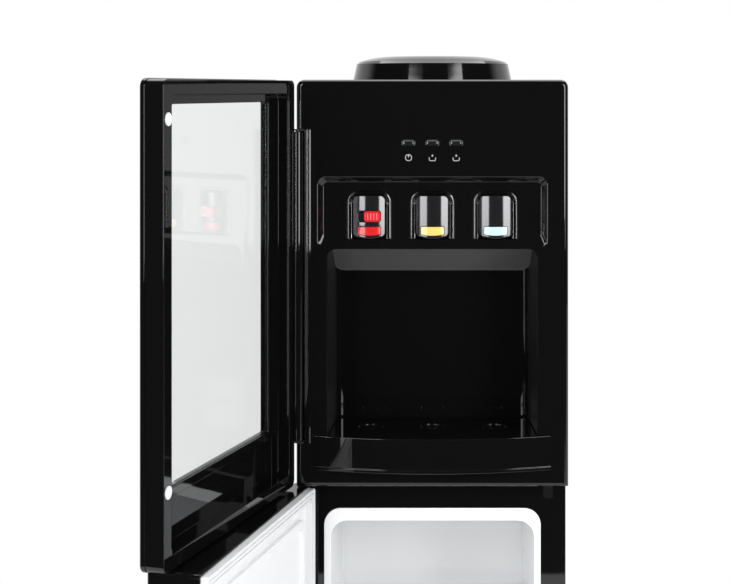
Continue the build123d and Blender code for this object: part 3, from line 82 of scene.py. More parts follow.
def colour(label, note, value):
    """A colour property."""
    return FloatVectorProperty(
        name=label, description=note, default=value, size=3, min=0, max=1, subtype="COLOR"
    )


def length(label, note, value):
    """A length property, written in millimetres and kept in metres."""
    return FloatProperty(name=label, description=note, default=value * MM, unit="LENGTH", precision=5)


def place(label, note, value):
    """A place property, written in millimetres and kept in metres."""
    metres = tuple(part * MM for part in value)
    return FloatVectorProperty(name=label, description=note, default=metres, size=3, subtype="TRANSLATION")


def power(label, note, value):
    """A lamp's power in watts."""
    return FloatProperty(name=label, description=note, default=value, unit="POWER")


def optic(label, note, value):
    """A camera length, in millimetres."""
    return FloatProperty(name=label, description=note, default=value, unit="CAMERA")


def share(label, note, value):
    """A plain share or factor."""
    return FloatProperty(name=label, description=note, default=value, precision=4)


class CoolerColours(PropertyGroup):
    """Colours of the mouldings, levers and metals."""

    piano: colour("Piano black", "Polished front mouldings", (0.0035, 0.0035, 0.0038))
    powder: colour("Powder black", "Coated steel of the casing, condenser and compressor", (0.012, 0.012, 0.013))
    base: colour("Base black", "Grained plinth", (0.016, 0.016, 0.016))
    # Painted sheen: the side walls are the same black moulding, made a little lighter so they show an even grey.
    wall: colour("Niche wall", "Satin side walls of the niche", (0.010, 0.010, 0.0105))
    # Painted light: the ceiling is the same black moulding, coloured grey to stand for the band of light it
    # catches.
    ceiling: colour("Niche ceiling", "Satin ceiling of the niche", (0.095, 0.095, 0.097))
    white: colour("Liner white", "Chilled cabinet, door liner, probe and spout", (0.86, 0.87, 0.88))
    seal: colour("Seal white", "Door gasket and bumpers", (0.78, 0.79, 0.80))
    dark_seal: colour("Seal grey", "Seal of the bottle seat and the drain cap", (0.45, 0.45, 0.46))
    foam: colour("Foam", "Rigid insulation", (0.72, 0.60, 0.34))
    hot: colour("Hot red", "Bar and safety slider of the hot tap", (0.62, 0.012, 0.016))
    # Painted highlight: the ribs are the slider's own red, made lighter to stand for the light they catch.
    hot_painted_highlight: colour("Light red", "Finger ribs of the safety slider", (0.85, 0.13, 0.16))
    warm: colour("Warm amber", "Bar of the middle tap", (0.93, 0.56, 0.14))
    cold: colour("Cold blue", "Bar of the cold tap", (0.50, 0.78, 0.93))
    smoke: colour("Smoke", "Mirror finish of the press levers", (0.085, 0.085, 0.088))
    rim: colour("Rim smoke", "Bright rims of the tap wells", (0.55, 0.55, 0.56))
    light: colour("Light lens", "Unlit lenses of the indicator lights", (0.01, 0.014, 0.012))
    mark: colour("Mark grey", "Printed signs under the lights", (0.36, 0.36, 0.36))
    glass: colour("Glass", "Window of the upper door", (0.93, 0.95, 0.95))
    steel: colour("Steel", "Tanks and pins", (0.60, 0.60, 0.61))
    zinc: colour("Zinc", "Shelves inside the casing", (0.5, 0.51, 0.53))
    chrome: colour("Chrome", "Rack and door catch", (0.74, 0.74, 0.75))
    copper: colour("Copper", "Filter dryer", (0.72, 0.36, 0.22))
    hose: colour("Hose", "Milky silicone hoses", (0.72, 0.73, 0.72))
    rubber: colour("Rubber", "Feet of the compressor and black fittings", (0.012, 0.012, 0.012))
    board: colour("Board green", "Circuit boards", (0.02, 0.14, 0.05))
    hot_switch: colour("Switch red", "Rocker of the hot water", (0.5, 0.015, 0.015))
    cold_switch: colour("Switch green", "Rocker of the cold water", (0.02, 0.3, 0.07))


class CoolerSizes(PropertyGroup):
    """Sizes of the details that only the looks need."""

    edge: length("Edge rounding", "Rounding of the sharp edges of mouldings", 0.7)
    sheet_edge: length("Sheet edge", "Rounding of the edges of bent sheet", 0.35)
    rim_edge: length("Well rim", "Rounding of the rims of the tap wells", 1.2)
    lens_width: length("Light width", "One indicator light, side to side", 15.0)
    icon: length("Sign size", "Printed signs under the lights", 8.2)
    sign_drop: length("Sign drop", "From the foot of the lights to the middle of their signs", 14.0)
    stroke: length("Sign stroke", "Line width of the printed signs", 0.9)
    print_rise: length("Print rise", "How far a printed sign stands off the moulding", 0.12)
    rib: length("Slider rib", "Width of a finger rib on the safety slider", 1.3)
    rib_root: length("Rib root", "How far a finger rib reaches into the slider", 1.0)
    rib_edge: length("Rib rounding", "Rounding of the edges of a finger rib", 0.35)
    slider_bow: length("Slider bow", "How far each rib lies behind the next one in", 0.12)


class CoolerStudio(PropertyGroup):
    """Camera, floor and lamps."""

    lens: optic("Lens", "Focal length of the camera in millimetres", 68.05)
    sensor: optic("Sensor", "Width of the camera's sensor in millimetres", 36.0)
    shift_across: share("Shift across", "Sideways shift of the lens, in picture widths", -0.0923)
    shift_up: share("Shift up", "Upward shift of the lens, in picture widths", -0.2785)
    distance: length("Camera distance", "From the middle of the body to the camera", 1790.0)
    height: length("Camera height", "Above the floor", 939.4)
    floor: length("Floor size", "Width of the floor", 9000.0)
    floor_front: length("Floor front", "How far the floor reaches in front of the object", 1150.0)
    floor_shade: colour("Floor shade", "Pale grey of the floor in the shadow", (0.86, 0.86, 0.86))
    shadow: length("Shadow radius", "Part of the floor that keeps the shadow", 620.0)
    shadow_lift: share("Shadow lift", "Light that the floor sends out even in the shadow", 0.12)
    air: share("Air", "Strength of the even light all round", 0.7)
    dark_air: share("Dark air", "What polished faces mirror from behind the camera", 0.012)
    lamp_height: length("Lamp height", "Height of each softbox", 1600.0)
    aim: place("Aim", "Where the left and right softboxes point", (0.0, -100.0, 950.0))
    top_aim: place("Top aim", "Where the overhead softbox points", (0.0, 100.0, 900.0))
    left_place: place("Left place", "Middle of the left softbox", (-1120.0, -2400.0, 1250.0))
    left_width: length("Left width", "Width of the left softbox", 930.0)
    left_power: power("Left lamp", "Power of the left softbox in watts", 31.0)
    right_place: place("Right place", "Middle of the right softbox", (1490.0, -2180.0, 1250.0))
    right_width: length("Right width", "Width of the right softbox", 950.0)
    right_power: power("Right lamp", "Power of the right softbox in watts", 38.0)
    top_place: place("Top place", "Middle of the overhead softbox", (0.0, 500.0, 2600.0))
    top_width: length("Top width", "Width of the overhead softbox", 2400.0)
    top_power: power("Top lamp", "Power of the overhead softbox in watts", 34.0)


class CoolerSettings(PropertyGroup):
    """Everything that a user may change."""

    colours: PointerProperty(type=CoolerColours, name="Colours", description="Colours of the finishes")
    sizes: PointerProperty(type=CoolerSizes, name="Sizes", description="Sizes of the details")
    studio: PointerProperty(type=CoolerStudio, name="Studio", description="Camera, floor and lamps")


def settings():
    """The cooler's settings in this scene."""
    return bpy.context.scene.water_cooler


# ---------------------------------------------------------------------------
# Shader nodes
# ---------------------------------------------------------------------------

# A Mix node's two inputs and its output, by the kind of what it mixes.
MIX_SOCKETS = {"FLOAT": (2, 3, 0), "RGBA": (6, 7, 2)}


def node(tree, kind, sockets=(), **choices):
    """Adds a node, makes its choices, and fills sockets, given by name or number, by value or by link."""
    made = tree.nodes.new(kind)
    for key, value in choices.items():
        setattr(made, key, value)
    for socket, content in dict(sockets).items():
        if isinstance(content, NodeSocket):
            tree.links.new(content, made.inputs[socket])
        else:
            made.inputs[socket].default_value = content
    return made


def worked_out(tree, operation, *values):
    """Adds a Math node on numbers or sockets, and gives its result."""
    return node(tree, "ShaderNodeMath", enumerate(values), operation=operation).outputs[0]


def blend(tree, kind, amount, first, second):
    """Adds a Mix node from a first colour or number to a second, and gives its result."""
    first_socket, second_socket, result = MIX_SOCKETS[kind]
    sockets = {0: amount, first_socket: first, second_socket: second}
    return node(tree, "ShaderNodeMix", sockets, data_type=kind).outputs[result]


def eased(tree, *values):
    """Adds a smooth Map Range node on a value, its two limits and the two results, and gives its result."""
    return node(tree, "ShaderNodeMapRange", enumerate(values), interpolation_type="SMOOTHSTEP").outputs[0]


def seen_directly(tree, path):
    """One for rays from the camera, straight or through the window, and nought for the others."""
    return worked_out(tree, "MAXIMUM", path.outputs["Is Camera Ray"], path.outputs["Is Transmission Ray"])


def noise(tree, coordinates, scale, detail, roughness=0.5):
    """Adds a noise texture, and gives its value."""
    sockets = {"Vector": coordinates, "Scale": scale, "Detail": detail, "Roughness": roughness}
    return node(tree, "ShaderNodeTexNoise", sockets).outputs[0]


# ---------------------------------------------------------------------------
# Shared surface effects
# ---------------------------------------------------------------------------


def effect(name, inputs, outputs):
    """Starts a shader node group with named inputs and outputs."""
    group = bpy.data.node_groups.new(name, "ShaderNodeTree")
    for label, kind, value in inputs:
        socket = group.interface.new_socket(label, in_out="INPUT", socket_type=kind)
        if value is not None:
            socket.default_value = value
    for label, kind in outputs:
        group.interface.new_socket(label, in_out="OUTPUT", socket_type=kind)
    return group, group.nodes.new("NodeGroupInput").outputs, group.nodes.new("NodeGroupOutput").inputs


def uneven_gloss(group, given, pattern, middle):
    """The group's gloss, changed by its spread as a pattern leaves its middle."""
    offset = worked_out(group, "SUBTRACT", pattern, middle)
    return worked_out(group, "MULTIPLY_ADD", offset, given["Spread"], given["Gloss"])


def skin_effect():
    """Slow ripple and uneven gloss of a polished moulding."""
    group, given, results = effect(
        "Polished skin",
        (
            ("Coordinates", "NodeSocketVector", None),
            ("Ripple scale", "NodeSocketFloat", 9.0),
            ("Gloss", "NodeSocketFloat", 0.05),
            ("Spread", "NodeSocketFloat", 0.04),
        ),
        (("Roughness", "NodeSocketFloat"), ("Height", "NodeSocketFloat")),
    )
    ripple = noise(group, given["Coordinates"], given["Ripple scale"], detail=1.0)
    smear = noise(group, given["Coordinates"], scale=14.0, detail=4.0, roughness=0.62)
    least_rough = 0.015
    gloss = worked_out(group, "MAXIMUM", uneven_gloss(group, given, smear, middle=0.35), least_rough)
    group.links.new(gloss, results["Roughness"])
    group.links.new(ripple, results["Height"])


def grain_effect():
    """Fine pebble grain, as on powder coat, grained plastic and foam."""
    group, given, results = effect(
        "Pebble grain",
        (
            ("Coordinates", "NodeSocketVector", None),
            ("Grain scale", "NodeSocketFloat", 900.0),
            ("Gloss", "NodeSocketFloat", 0.4),
            ("Spread", "NodeSocketFloat", 0.2),
        ),
        (("Roughness", "NodeSocketFloat"), ("Height", "NodeSocketFloat")),
    )
    sockets = {"Vector": given["Coordinates"], "Scale": given["Grain scale"]}
    cells = node(group, "ShaderNodeTexVoronoi", sockets, feature="SMOOTH_F1")
    patches = noise(group, given["Coordinates"], scale=11.0, detail=5.0)
    group.links.new(uneven_gloss(group, given, patches, middle=0.5), results["Roughness"])
    group.links.new(cells.outputs["Distance"], results["Height"])


def drawn_effect():
    """Fine parallel lines of rolled or drawn metal."""
    group, given, results = effect(
        "Drawn metal",
        (
            ("Coordinates", "NodeSocketVector", None),
            ("Stretch", "NodeSocketVector", (900.0, 900.0, 12.0)),
            ("Gloss", "NodeSocketFloat", 0.3),
            ("Spread", "NodeSocketFloat", 0.2),
        ),
        (("Roughness", "NodeSocketFloat"), ("Height", "NodeSocketFloat")),
    )
    sockets = {0: given["Coordinates"], 1: given["Stretch"]}
    stretched = node(group, "ShaderNodeVectorMath", sockets, operation="MULTIPLY")
    lines = noise(group, stretched.outputs[0], scale=1.0, detail=3.0)
    group.links.new(uneven_gloss(group, given, lines, middle=0.5), results["Roughness"])
    group.links.new(lines, results["Height"])


def dust_effect():
    """A thin film of dust that settles on faces that look up."""
    group, given, results = effect(
        "Settled dust",
        (
            ("Coordinates", "NodeSocketVector", None),
            ("Colour", "NodeSocketColor", (0.0, 0.0, 0.0, 1.0)),
            ("Dust", "NodeSocketColor", (0.3, 0.3, 0.3, 1.0)),
            ("Cover", "NodeSocketFloat", 0.03),
        ),
        (("Colour", "NodeSocketColor"),),
    )
    specks = noise(group, given["Coordinates"], scale=160.0, detail=6.0)
    facing = node(group, "ShaderNodeNewGeometry")
    split = node(group, "ShaderNodeSeparateXYZ", {0: facing.outputs["Normal"]})
    upward = worked_out(group, "MAXIMUM", split.outputs["Z"], 0.0)
    lying = worked_out(group, "MULTIPLY", upward, specks)
    covered = worked_out(group, "MULTIPLY", lying, given["Cover"])
    group.links.new(blend(group, "RGBA", covered, given["Colour"], given["Dust"]), results["Colour"])


# ---------------------------------------------------------------------------
# Finishes
# ---------------------------------------------------------------------------


def surface(name, base, effect_name, gloss, spread, relief=0.0, dust=0.0, pattern=(), **values):
    """A material whose gloss and relief come from one shared effect, with dust on its upward faces.

    The relief is in millimetres. pattern holds more values for the effect, and values are the shader's
    own, with an underscore for each space in their names."""
    material = bpy.data.materials.new(FINISH + name)
    material.use_nodes = True
    tree = material.node_tree
    shader = tree.nodes["Principled BSDF"]
    coordinates = node(tree, "ShaderNodeTexCoord").outputs["Object"]
    sockets = {"Coordinates": coordinates, "Gloss": gloss, "Spread": spread, **dict(pattern)}
    skin = node(tree, "ShaderNodeGroup", sockets, node_tree=bpy.data.node_groups[effect_name])
    tree.links.new(skin.outputs["Roughness"], shader.inputs["Roughness"])
    if relief:
        bump = node(tree, "ShaderNodeBump", {"Height": skin.outputs["Height"], "Distance": relief * MM})
        tree.links.new(bump.outputs[0], shader.inputs["Normal"])
    shade = (*base, 1.0)
    shader.inputs["Base Color"].default_value = shade
    if dust:
        sockets = {"Coordinates": coordinates, "Colour": shade, "Cover": dust}
        film = node(tree, "ShaderNodeGroup", sockets, node_tree=bpy.data.node_groups["Settled dust"])
        tree.links.new(film.outputs["Colour"], shader.inputs["Base Color"])
    for key, value in values.items():
        shader.inputs[key.replace("_", " ")].default_value = value


def moulding_finishes(shades):
    """Polished, satin and grained blacks, with painted light on the niche's ceiling and walls, and the white
    plastics.
    """
    polish = {"relief": 0.06, "pattern": {"Ripple scale": 22.0}, "IOR": 1.5}
    surface("piano_black", shades.piano, "Polished skin", 0.03, 0.02, dust=0.004, **polish)
    surface("door_black", shades.piano, "Polished skin", 0.035, 0.02, dust=0.004, **polish)
    surface("seat_black", shades.piano, "Polished skin", 0.07, 0.03, dust=0.006, **polish)
    # Painted light: the ceiling's grey base colour stands for light on the black moulding; its grain and
    # roughness are real.
    surface("ceiling_satin_painted_light", shades.ceiling, "Pebble grain", 0.42, 0.1, relief=0.01)
    # Painted sheen: the walls' lighter black stands for light they catch; their roughness is real.
    surface("wall_satin_painted_sheen", shades.wall, "Polished skin", 0.34, 0.04, relief=0.02)
    surface("powder_black", shades.powder, "Pebble grain", 0.32, 0.1, relief=0.04, dust=0.02)
    surface("base_black", shades.base, "Pebble grain", 0.5, 0.15, relief=0.12, dust=0.03)
    surface("black_enamel", shades.powder, "Pebble grain", 0.28, 0.1, relief=0.03, dust=0.03)
    surface("liner_white", shades.white, "Polished skin", 0.22, 0.08, relief=0.05)
    surface("probe_white", shades.white, "Polished skin", 0.25, 0.08)
    surface("seal_white", shades.seal, "Pebble grain", 0.55, 0.1, relief=0.02)
    surface("bumper_white", shades.seal, "Pebble grain", 0.4, 0.1, relief=0.02)


def tap_finishes(shades):
    """Colours of the three taps, and the bright finishes of their levers and rims."""
    for name, shade in (("hot_red", shades.hot), ("warm_amber", shades.warm), ("cold_blue", shades.cold)):
        surface(name, shade, "Polished skin", 0.16, 0.05, relief=0.02, Coat_Weight=0.4)
    # Painted highlight: a lighter copy of the slider's red for its ribs.
    surface("hot_red_painted_highlight", shades.hot_painted_highlight, "Polished skin", 0.16, 0.05, Coat_Weight=0.4)
    surface("lever_smoke", shades.smoke, "Polished skin", 0.10, 0.03, relief=0.01, Metallic=0.88)
    surface("rim_smoke", shades.rim, "Polished skin", 0.04, 0.02, Metallic=1.0)


def front_finishes(shades):
    """The lights, their signs and the window."""
    surface("lens_smoke", shades.light, "Polished skin", 0.09, 0.03, Coat_Weight=1.0)
    surface("mark_grey", shades.mark, "Pebble grain", 0.5, 0.1)
    surface("window_glass", shades.glass, "Polished skin", 0.0, 0.01, Transmission_Weight=1.0, IOR=1.45)


def metal_finishes(shades):
    """Steel, zinc, chrome and copper."""
    surface("steel_bright", shades.steel, "Drawn metal", 0.24, 0.14, relief=0.004, Metallic=1.0)
    surface("zinc_steel", shades.zinc, "Drawn metal", 0.38, 0.2, relief=0.004, Metallic=1.0)
    surface("chrome_wire", shades.chrome, "Polished skin", 0.08, 0.05, Metallic=1.0)
    surface("copper", shades.copper, "Drawn metal", 0.26, 0.12, relief=0.004, Metallic=1.0)


def inner_finishes(shades):
    """Foam, rubber, hoses, boards and switches."""
    grain = {"Grain scale": 420.0}
    surface("foam_cream", shades.foam, "Pebble grain", 0.85, 0.1, relief=0.6, pattern=grain)
    surface("seal_grey", shades.dark_seal, "Pebble grain", 0.5, 0.1, relief=0.02)
    surface("rubber_black", shades.rubber, "Pebble grain", 0.62, 0.1, relief=0.03, dust=0.03)
    surface("hose_milk", shades.hose, "Polished skin", 0.35, 0.1, Subsurface_Weight=0.15)
    surface("board_green", shades.board, "Polished skin", 0.3, 0.1, relief=0.02)
    surface("switch_red", shades.hot_switch, "Polished skin", 0.2, 0.06)
    surface("switch_green", shades.cold_switch, "Polished skin", 0.2, 0.06)


def make_finishes():
    """Builds the shared effects and every finish once."""
    for make_effect in (skin_effect, grain_effect, drawn_effect, dust_effect):
        make_effect()
    for make in (moulding_finishes, tap_finishes, front_finishes, metal_finishes, inner_finishes):
        make(settings().colours)


def finish_called(name):
    """One of the finishes."""
    return bpy.data.materials[FINISH + name]


# ---------------------------------------------------------------------------
# Making and showing pieces
# ---------------------------------------------------------------------------


def block(shape, low, high):
    """Adds a box between two corners."""
    made = bmesh.ops.create_cube(shape, size=1.0)["verts"]
    low, high = Vector(low), Vector(high)
    bmesh.ops.scale(shape, verts=made, vec=high - low)
    bmesh.ops.translate(shape, verts=made, vec=(high + low) / 2)


def rounded(shape, edges, radius, steps):
    """Rounds edges."""
    bmesh.ops.bevel(
        shape,
        geom=edges,
        offset=radius,
        offset_type="OFFSET",
        segments=steps,
        profile=0.5,
        affect="EDGES",
        clamp_overlap=False,
        material=-1,
    )


def sharp_edges(shape):
    """The edges at which two faces meet sharply."""
    return [e for e in shape.edges if len(e.link_faces) == 2 and e.calc_face_angle(0.0) > SHARP_EDGE]


def make_flats_whole(shape):
    """Joins the triangles of each flat face."""
    bmesh.ops.dissolve_limit(shape, angle_limit=FLAT_FACE, verts=shape.verts, edges=shape.edges)


def show(shape, name, body, finish, nodes=(), smooth=SMOOTH_SHADE, weighted=True):
    """Puts a finished shape in the scene, riding on its body and standing for CAD nodes."""
    mesh = bpy.data.meshes.new(name)
    shape.to_mesh(mesh)
    shape.free()
    mesh.materials.append(finish_called(finish))
    mesh.shade_smooth()
    mesh.set_sharp_from_angle(angle=smooth)
    piece = bpy.data.objects.new(name, mesh)
    bpy.context.scene.collection.objects.link(piece)
    if weighted:
        flats = piece.modifiers.new("Flat faces stay flat", "WEIGHTED_NORMAL")
        flats.keep_sharp = True
    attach(piece, body)
    if nodes:
        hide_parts(*nodes)
    return piece


def joined_copy(name):
    """A copy of a CAD piece with its loose triangles joined."""
    shape = bmesh.new()
    shape.from_mesh(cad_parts[name].data)
    bmesh.ops.remove_doubles(shape, verts=shape.verts, dist=MERGE_DISTANCE)
    return shape


def softened(name, body, finish, edge, steps=EDGE_STEPS, bold=None, bold_edge=0.0):
    """Shows a CAD piece with its sharp edges rounded, those that a test picks by a larger radius.

    A corner that a rounding throws off the piece is put back on its skin. The flat faces are made whole
    afterwards, so that their shading stays flat up to the rounding."""
    shape = joined_copy(name)
    skin = BVHTree.FromBMesh(shape)
    if bold:
        rounded(shape, [e for e in sharp_edges(shape) if bold(e)], bold_edge, RIM_STEPS)
    rounded(shape, sharp_edges(shape), edge, steps)
    for corner in shape.verts:
        spot, _, _, away = skin.find_nearest(corner.co)
        if away > THROWN_OFF * max(edge, bold_edge):
            corner.co = spot
    make_flats_whole(shape)
    return show(shape, name + "_soft", body, finish, (name,))


def also(piece, finish, chosen):
    """Gives a second finish to the faces of a piece that a test picks."""
    piece.data.materials.append(finish_called(finish))
    for face in piece.data.polygons:
        if chosen(face):
            face.material_index = len(piece.data.materials) - 1


def dress(finish, *names):
    """Gives CAD pieces that stay as they are their finish."""
    for name in names:
        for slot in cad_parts[name].material_slots:
            slot.material = finish_called(finish)


# ---------------------------------------------------------------------------
# Pieces
# ---------------------------------------------------------------------------


class COOLER_OT_casing(Operator):
    """Dress the steel casing, its cover and its plinth"""

    bl_idname = "cooler.casing"
    bl_label = "Casing"

    def execute(self, context):
        sizes = settings().sizes
        for name in ("side_panel_left", "side_panel_right", "rear_panel"):
            softened(name, "casing", "powder_black", sizes.sheet_edge, SHEET_STEPS)
        softened("top_cover", "casing", "piano_black", sizes.edge)
        softened("base_plinth", "casing", "base_black", sizes.edge)
        return {"FINISHED"}


class COOLER_OT_front(Operator):
    """Dress the front moulding with its niche and hinge parts"""

    bl_idname = "cooler.front"
    bl_label = "Front moulding"

    def on_ceiling(self, face):
        """Whether a face of the niche is on its ceiling, which slopes down to the back."""
        least_down, least_forward = 0.35, 0.2
        return face.normal.z < -least_down and face.normal.y < -least_forward

    def on_wall(self, face):
        """Whether a face of the niche is on a side wall."""
        least_sideways = 0.9
        return abs(face.normal.x) > least_sideways

    def execute(self, context):
        edge = settings().sizes.edge
        softened("front_bezel", "casing", "piano_black", edge, BEZEL_STEPS)
        niche = softened("niche_liner", "casing", "piano_black", edge)
        # The ceiling's faces get a grey that paints the light they catch.
        also(niche, "ceiling_satin_painted_light", self.on_ceiling)
        # The side walls get a lighter black that paints their sheen.
        also(niche, "wall_satin_painted_sheen", self.on_wall)
        dress("black_enamel", "upper_hinge_brackets")
        dress("steel_bright", "lower_hinge_pins")
        dress("chrome_wire", "door_catch")
        return {"FINISHED"}


class COOLER_OT_lights(Operator):
    """Make the indicator lights and the plain signs under them"""

    bl_idname = "cooler.lights"
    bl_label = "Indicator lights"

    # Width and depth in millimetres of the steps from a lens's edge to the middle of its dish.
    dish_steps = ((0.35, 0.0), (0.55, 0.62), (0.7, 0.45), (0.8, 0.24), (0.6, 0.07))

    # Parts of the signs in radii of the sign: the wedge's corners from the middle, the radius of the
    # cup's lower corners, the height of its sides, and the drop's radius, tip and height.
    wedge_corners = ((-0.34, 0.80), (0.34, 0.80), (0.0, -0.12))
    cup_corner = 0.46
    cup_side = 0.62
    drop_radius = 0.26
    drop_tip = 0.28
    drop_height = 0.52

    def ring(self, shape, across, height, outer, stroke, start=0.0, sweep=2 * pi, steps=48):
        """Lays a flat printed ring, or an arc of one, by spinning one stroke."""
        middle = Vector((across, height, 0.0))
        ends = [middle + Vector((r * cos(start), r * sin(start), 0.0)) for r in (outer - stroke, outer)]
        points = [shape.verts.new(end) for end in ends]
        across_stroke = shape.edges.new(points)
        bmesh.ops.spin(
            shape,
            geom=points + [across_stroke],
            cent=middle,
            axis=(0, 0, 1),
            angle=sweep,
            steps=steps,
            use_merge=sweep >= 2 * pi,
        )

    def strip(self, shape, middle, width, height):
        """Lays a flat printed strip."""
        made = bmesh.ops.create_grid(shape, x_segments=1, y_segments=1, size=0.5)["verts"]
        bmesh.ops.scale(shape, verts=made, vec=(width, height, 1.0))
        bmesh.ops.translate(shape, verts=made, vec=(*middle, 0.0))

    def clock(self, shape, across, height, radius, stroke):
        """A ring with a short wedge from its top to its middle: the power sign."""
        self.ring(shape, across, height, radius, stroke)
        corners = [(across + radius * x, height + radius * y, 0.0) for x, y in self.wedge_corners]
        shape.faces.new([shape.verts.new(corner) for corner in corners])

    def cup(self, shape, across, height, radius, stroke):
        """An open cup with a drop above it: the sign of ready water."""
        foot = height - radius
        corner = radius * self.cup_corner
        side = radius * self.cup_side
        for way, start in ((-1, pi), (1, 1.5 * pi)):
            middle = (across + way * (radius - stroke / 2), foot + corner + side / 2)
            self.strip(shape, middle, stroke, side)
            turn = across + way * (radius - corner)
            self.ring(shape, turn, foot + corner, corner, stroke, start, sweep=pi / 2, steps=12)
        self.strip(shape, (across, foot + stroke / 2), 2 * (radius - corner), stroke)
        size = radius * self.drop_radius
        drop = bmesh.ops.create_circle(shape, cap_ends=True, segments=24, radius=size)["verts"]
        tip = max(drop, key=lambda point: point.co.y)
        tip.co.y += radius * self.drop_tip
        bmesh.ops.translate(shape, verts=drop, vec=(across, height + radius * self.drop_height, 0))

    def dished_lenses(self):
        """Sinks the face of each lens to a dish, step by step."""
        shape = joined_copy("indicator_lenses")
        make_flats_whole(shape)
        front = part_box("indicator_lenses")[0].y
        ahead = [f for f in shape.faces if f.normal.y < -0.9]
        for face in [f for f in ahead if abs(f.calc_center_median().y - front) < 0.01 * MM]:
            for width, depth in self.dish_steps:
                bmesh.ops.inset_region(
                    shape, faces=[face], thickness=width * MM, depth=-depth * MM, use_even_offset=True
                )
        show(
            shape,
            "indicator_lenses_dished",
            "casing",
            "lens_smoke",
            nodes=("indicator_lenses",),
            smooth=LENS_SHADE,
            weighted=False,
        )

    def signs(self, sizes):
        """Prints the power sign and two signs of ready water, laid flat and then stood on the moulding."""
        low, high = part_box("indicator_lenses")
        first = low.x + sizes.lens_width / 2
        last = high.x - sizes.lens_width / 2
        height = low.z - sizes.sign_drop
        shape = bmesh.new()
        self.clock(shape, first, height, sizes.icon / 2, sizes.stroke)
        for across in ((first + last) / 2, last):
            self.cup(shape, across, height, sizes.icon / 2, sizes.stroke)
        upright = Matrix.Rotation(radians(90), 3, "X")
        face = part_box("front_bezel")[0].y
        bmesh.ops.rotate(shape, verts=shape.verts, cent=(0, 0, 0), matrix=upright)
        bmesh.ops.translate(shape, verts=shape.verts, vec=(0, face - sizes.print_rise, 0))
        bmesh.ops.recalc_face_normals(shape, faces=shape.faces)
        show(shape, "light_signs", "casing", "mark_grey", weighted=False)

    def execute(self, context):
        self.dished_lenses()
        dress("board_green", "indicator_board")
        self.signs(settings().sizes)
        return {"FINISHED"}


class COOLER_OT_taps(Operator):
    """Dress the tap housings, the press levers with their bars, and the safety slider with its ribs"""

    bl_idname = "cooler.taps"
    bl_label = "Taps"

    # The ribs' places from the slider's middle in pitches, the pitches in its width, half a rib's
    # length in slider heights, and how far a rib stands out in rib widths.
    rib_places = (-1.5, -0.5, 0.5, 1.5)
    slider_pitches = 5.6
    rib_half_length = 0.31
    rib_rise = 0.4

    def tap(self, name, edge, rim_edge):
        """One tap housing, with the rim of its well rounded boldly and finished bright."""
        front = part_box(name)[0].y
        rim_tolerance = 0.2 * MM
        steepest, flattest = -0.97, -0.1

        def on_rim(rim):
            return all(abs(corner.co.y - front) < rim_tolerance for corner in rim.verts)

        def on_rounding(face):
            return steepest < face.normal.y < flattest and face.center.y < front + rim_edge

        housing = softened(
            name, "casing", "piano_black", edge / 2, bold=on_rim, bold_edge=rim_edge
        )
        also(housing, "rim_smoke", on_rounding)

    def ribs(self, sizes):
        """Finger ribs across the safety slider's bowed face, in a lighter red that paints their highlight."""
        low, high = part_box("child_lock")
        middle = (low + high) / 2
        pitch = (high.x - low.x) / self.slider_pitches
        reach = (high.z - low.z) * self.rib_half_length
        half = sizes.rib / 2
        shape = bmesh.new()
        for place_along in self.rib_places:
            across = middle.x + place_along * pitch
            face = low.y + abs(place_along) * sizes.slider_bow
            near = (across - half, face - sizes.rib * self.rib_rise, middle.z - reach)
            far = (across + half, face + sizes.rib_root, middle.z + reach)
            block(shape, near, far)
        upright = 5 * MM
        outer = [e for e in shape.edges if e.calc_length() > upright or e.verts[0].co.y < low.y]
        rounded(shape, outer, sizes.rib_edge, EDGE_STEPS)
        show(shape, "child_lock_ribs", "lock_slider", "hot_red_painted_highlight")

    def execute(self, context):
        sizes = settings().sizes
        for name, bar in (("hot", "hot_red"), ("warm", "warm_amber"), ("cold", "cold_blue")):
            self.tap("tap_" + name, sizes.edge, sizes.rim_edge)
            softened("paddle_" + name, name + "_lever", "lever_smoke", sizes.edge)
            softened("strip_" + name, name + "_lever", bar, sizes.edge / 2)
        softened("child_lock", "lock_slider", "hot_red", sizes.edge / 3)
        self.ribs(sizes)
        return {"FINISHED"}


class COOLER_OT_tray(Operator):
    """Dress the drip tray and its plate"""

    bl_idname = "cooler.tray"
    bl_label = "Drip tray"

    def execute(self, context):
        edge = settings().sizes.edge
        softened("drip_tray", "tray", "piano_black", edge)
        softened("drip_plate", "tray_plate", "piano_black", edge / 2)
        return {"FINISHED"}


class COOLER_OT_seat(Operator):
    """Dress the bottle seat and its probe"""

    bl_idname = "cooler.seat"
    bl_label = "Bottle seat"

    def execute(self, context):
        dress("seat_black", "bottle_seat")
        dress("probe_white", "bottle_probe")
        return {"FINISHED"}


class COOLER_OT_upper_door(Operator):
    """Dress the glazed upper door"""

    bl_idname = "cooler.upper_door"
    bl_label = "Upper door"

    def execute(self, context):
        edge = settings().sizes.edge
        for name in ("upper_door_frame", "upper_door_panel"):
            softened(name, "upper_door", "door_black", edge)
        dress("window_glass", "upper_door_glass")
        dress("bumper_white", "door_bumpers")
        return {"FINISHED"}


class COOLER_OT_lower_door(Operator):
    """Dress the insulated lower door"""

    bl_idname = "cooler.lower_door"
    bl_label = "Lower door"

    def execute(self, context):
        edge = settings().sizes.edge
        softened("lower_door_shell", "lower_door", "door_black", edge)
        softened("lower_door_liner", "lower_door", "liner_white", edge)
        softened("lower_door_gasket", "lower_door", "seal_white", edge / 2)
        dress("foam_cream", "lower_door_foam")
        return {"FINISHED"}


class COOLER_OT_cabinet(Operator):
    """Dress the chilled cabinet and its rack"""

    bl_idname = "cooler.cabinet"
    bl_label = "Chilled cabinet"

    def execute(self, context):
        edge = settings().sizes.edge
        softened("cabinet_liner", "casing", "liner_white", edge)
        softened("cabinet_frame", "casing", "piano_black", edge)
        dress("foam_cream", "cabinet_foam")
        dress("chrome_wire", "wire_rack")
        return {"FINISHED"}


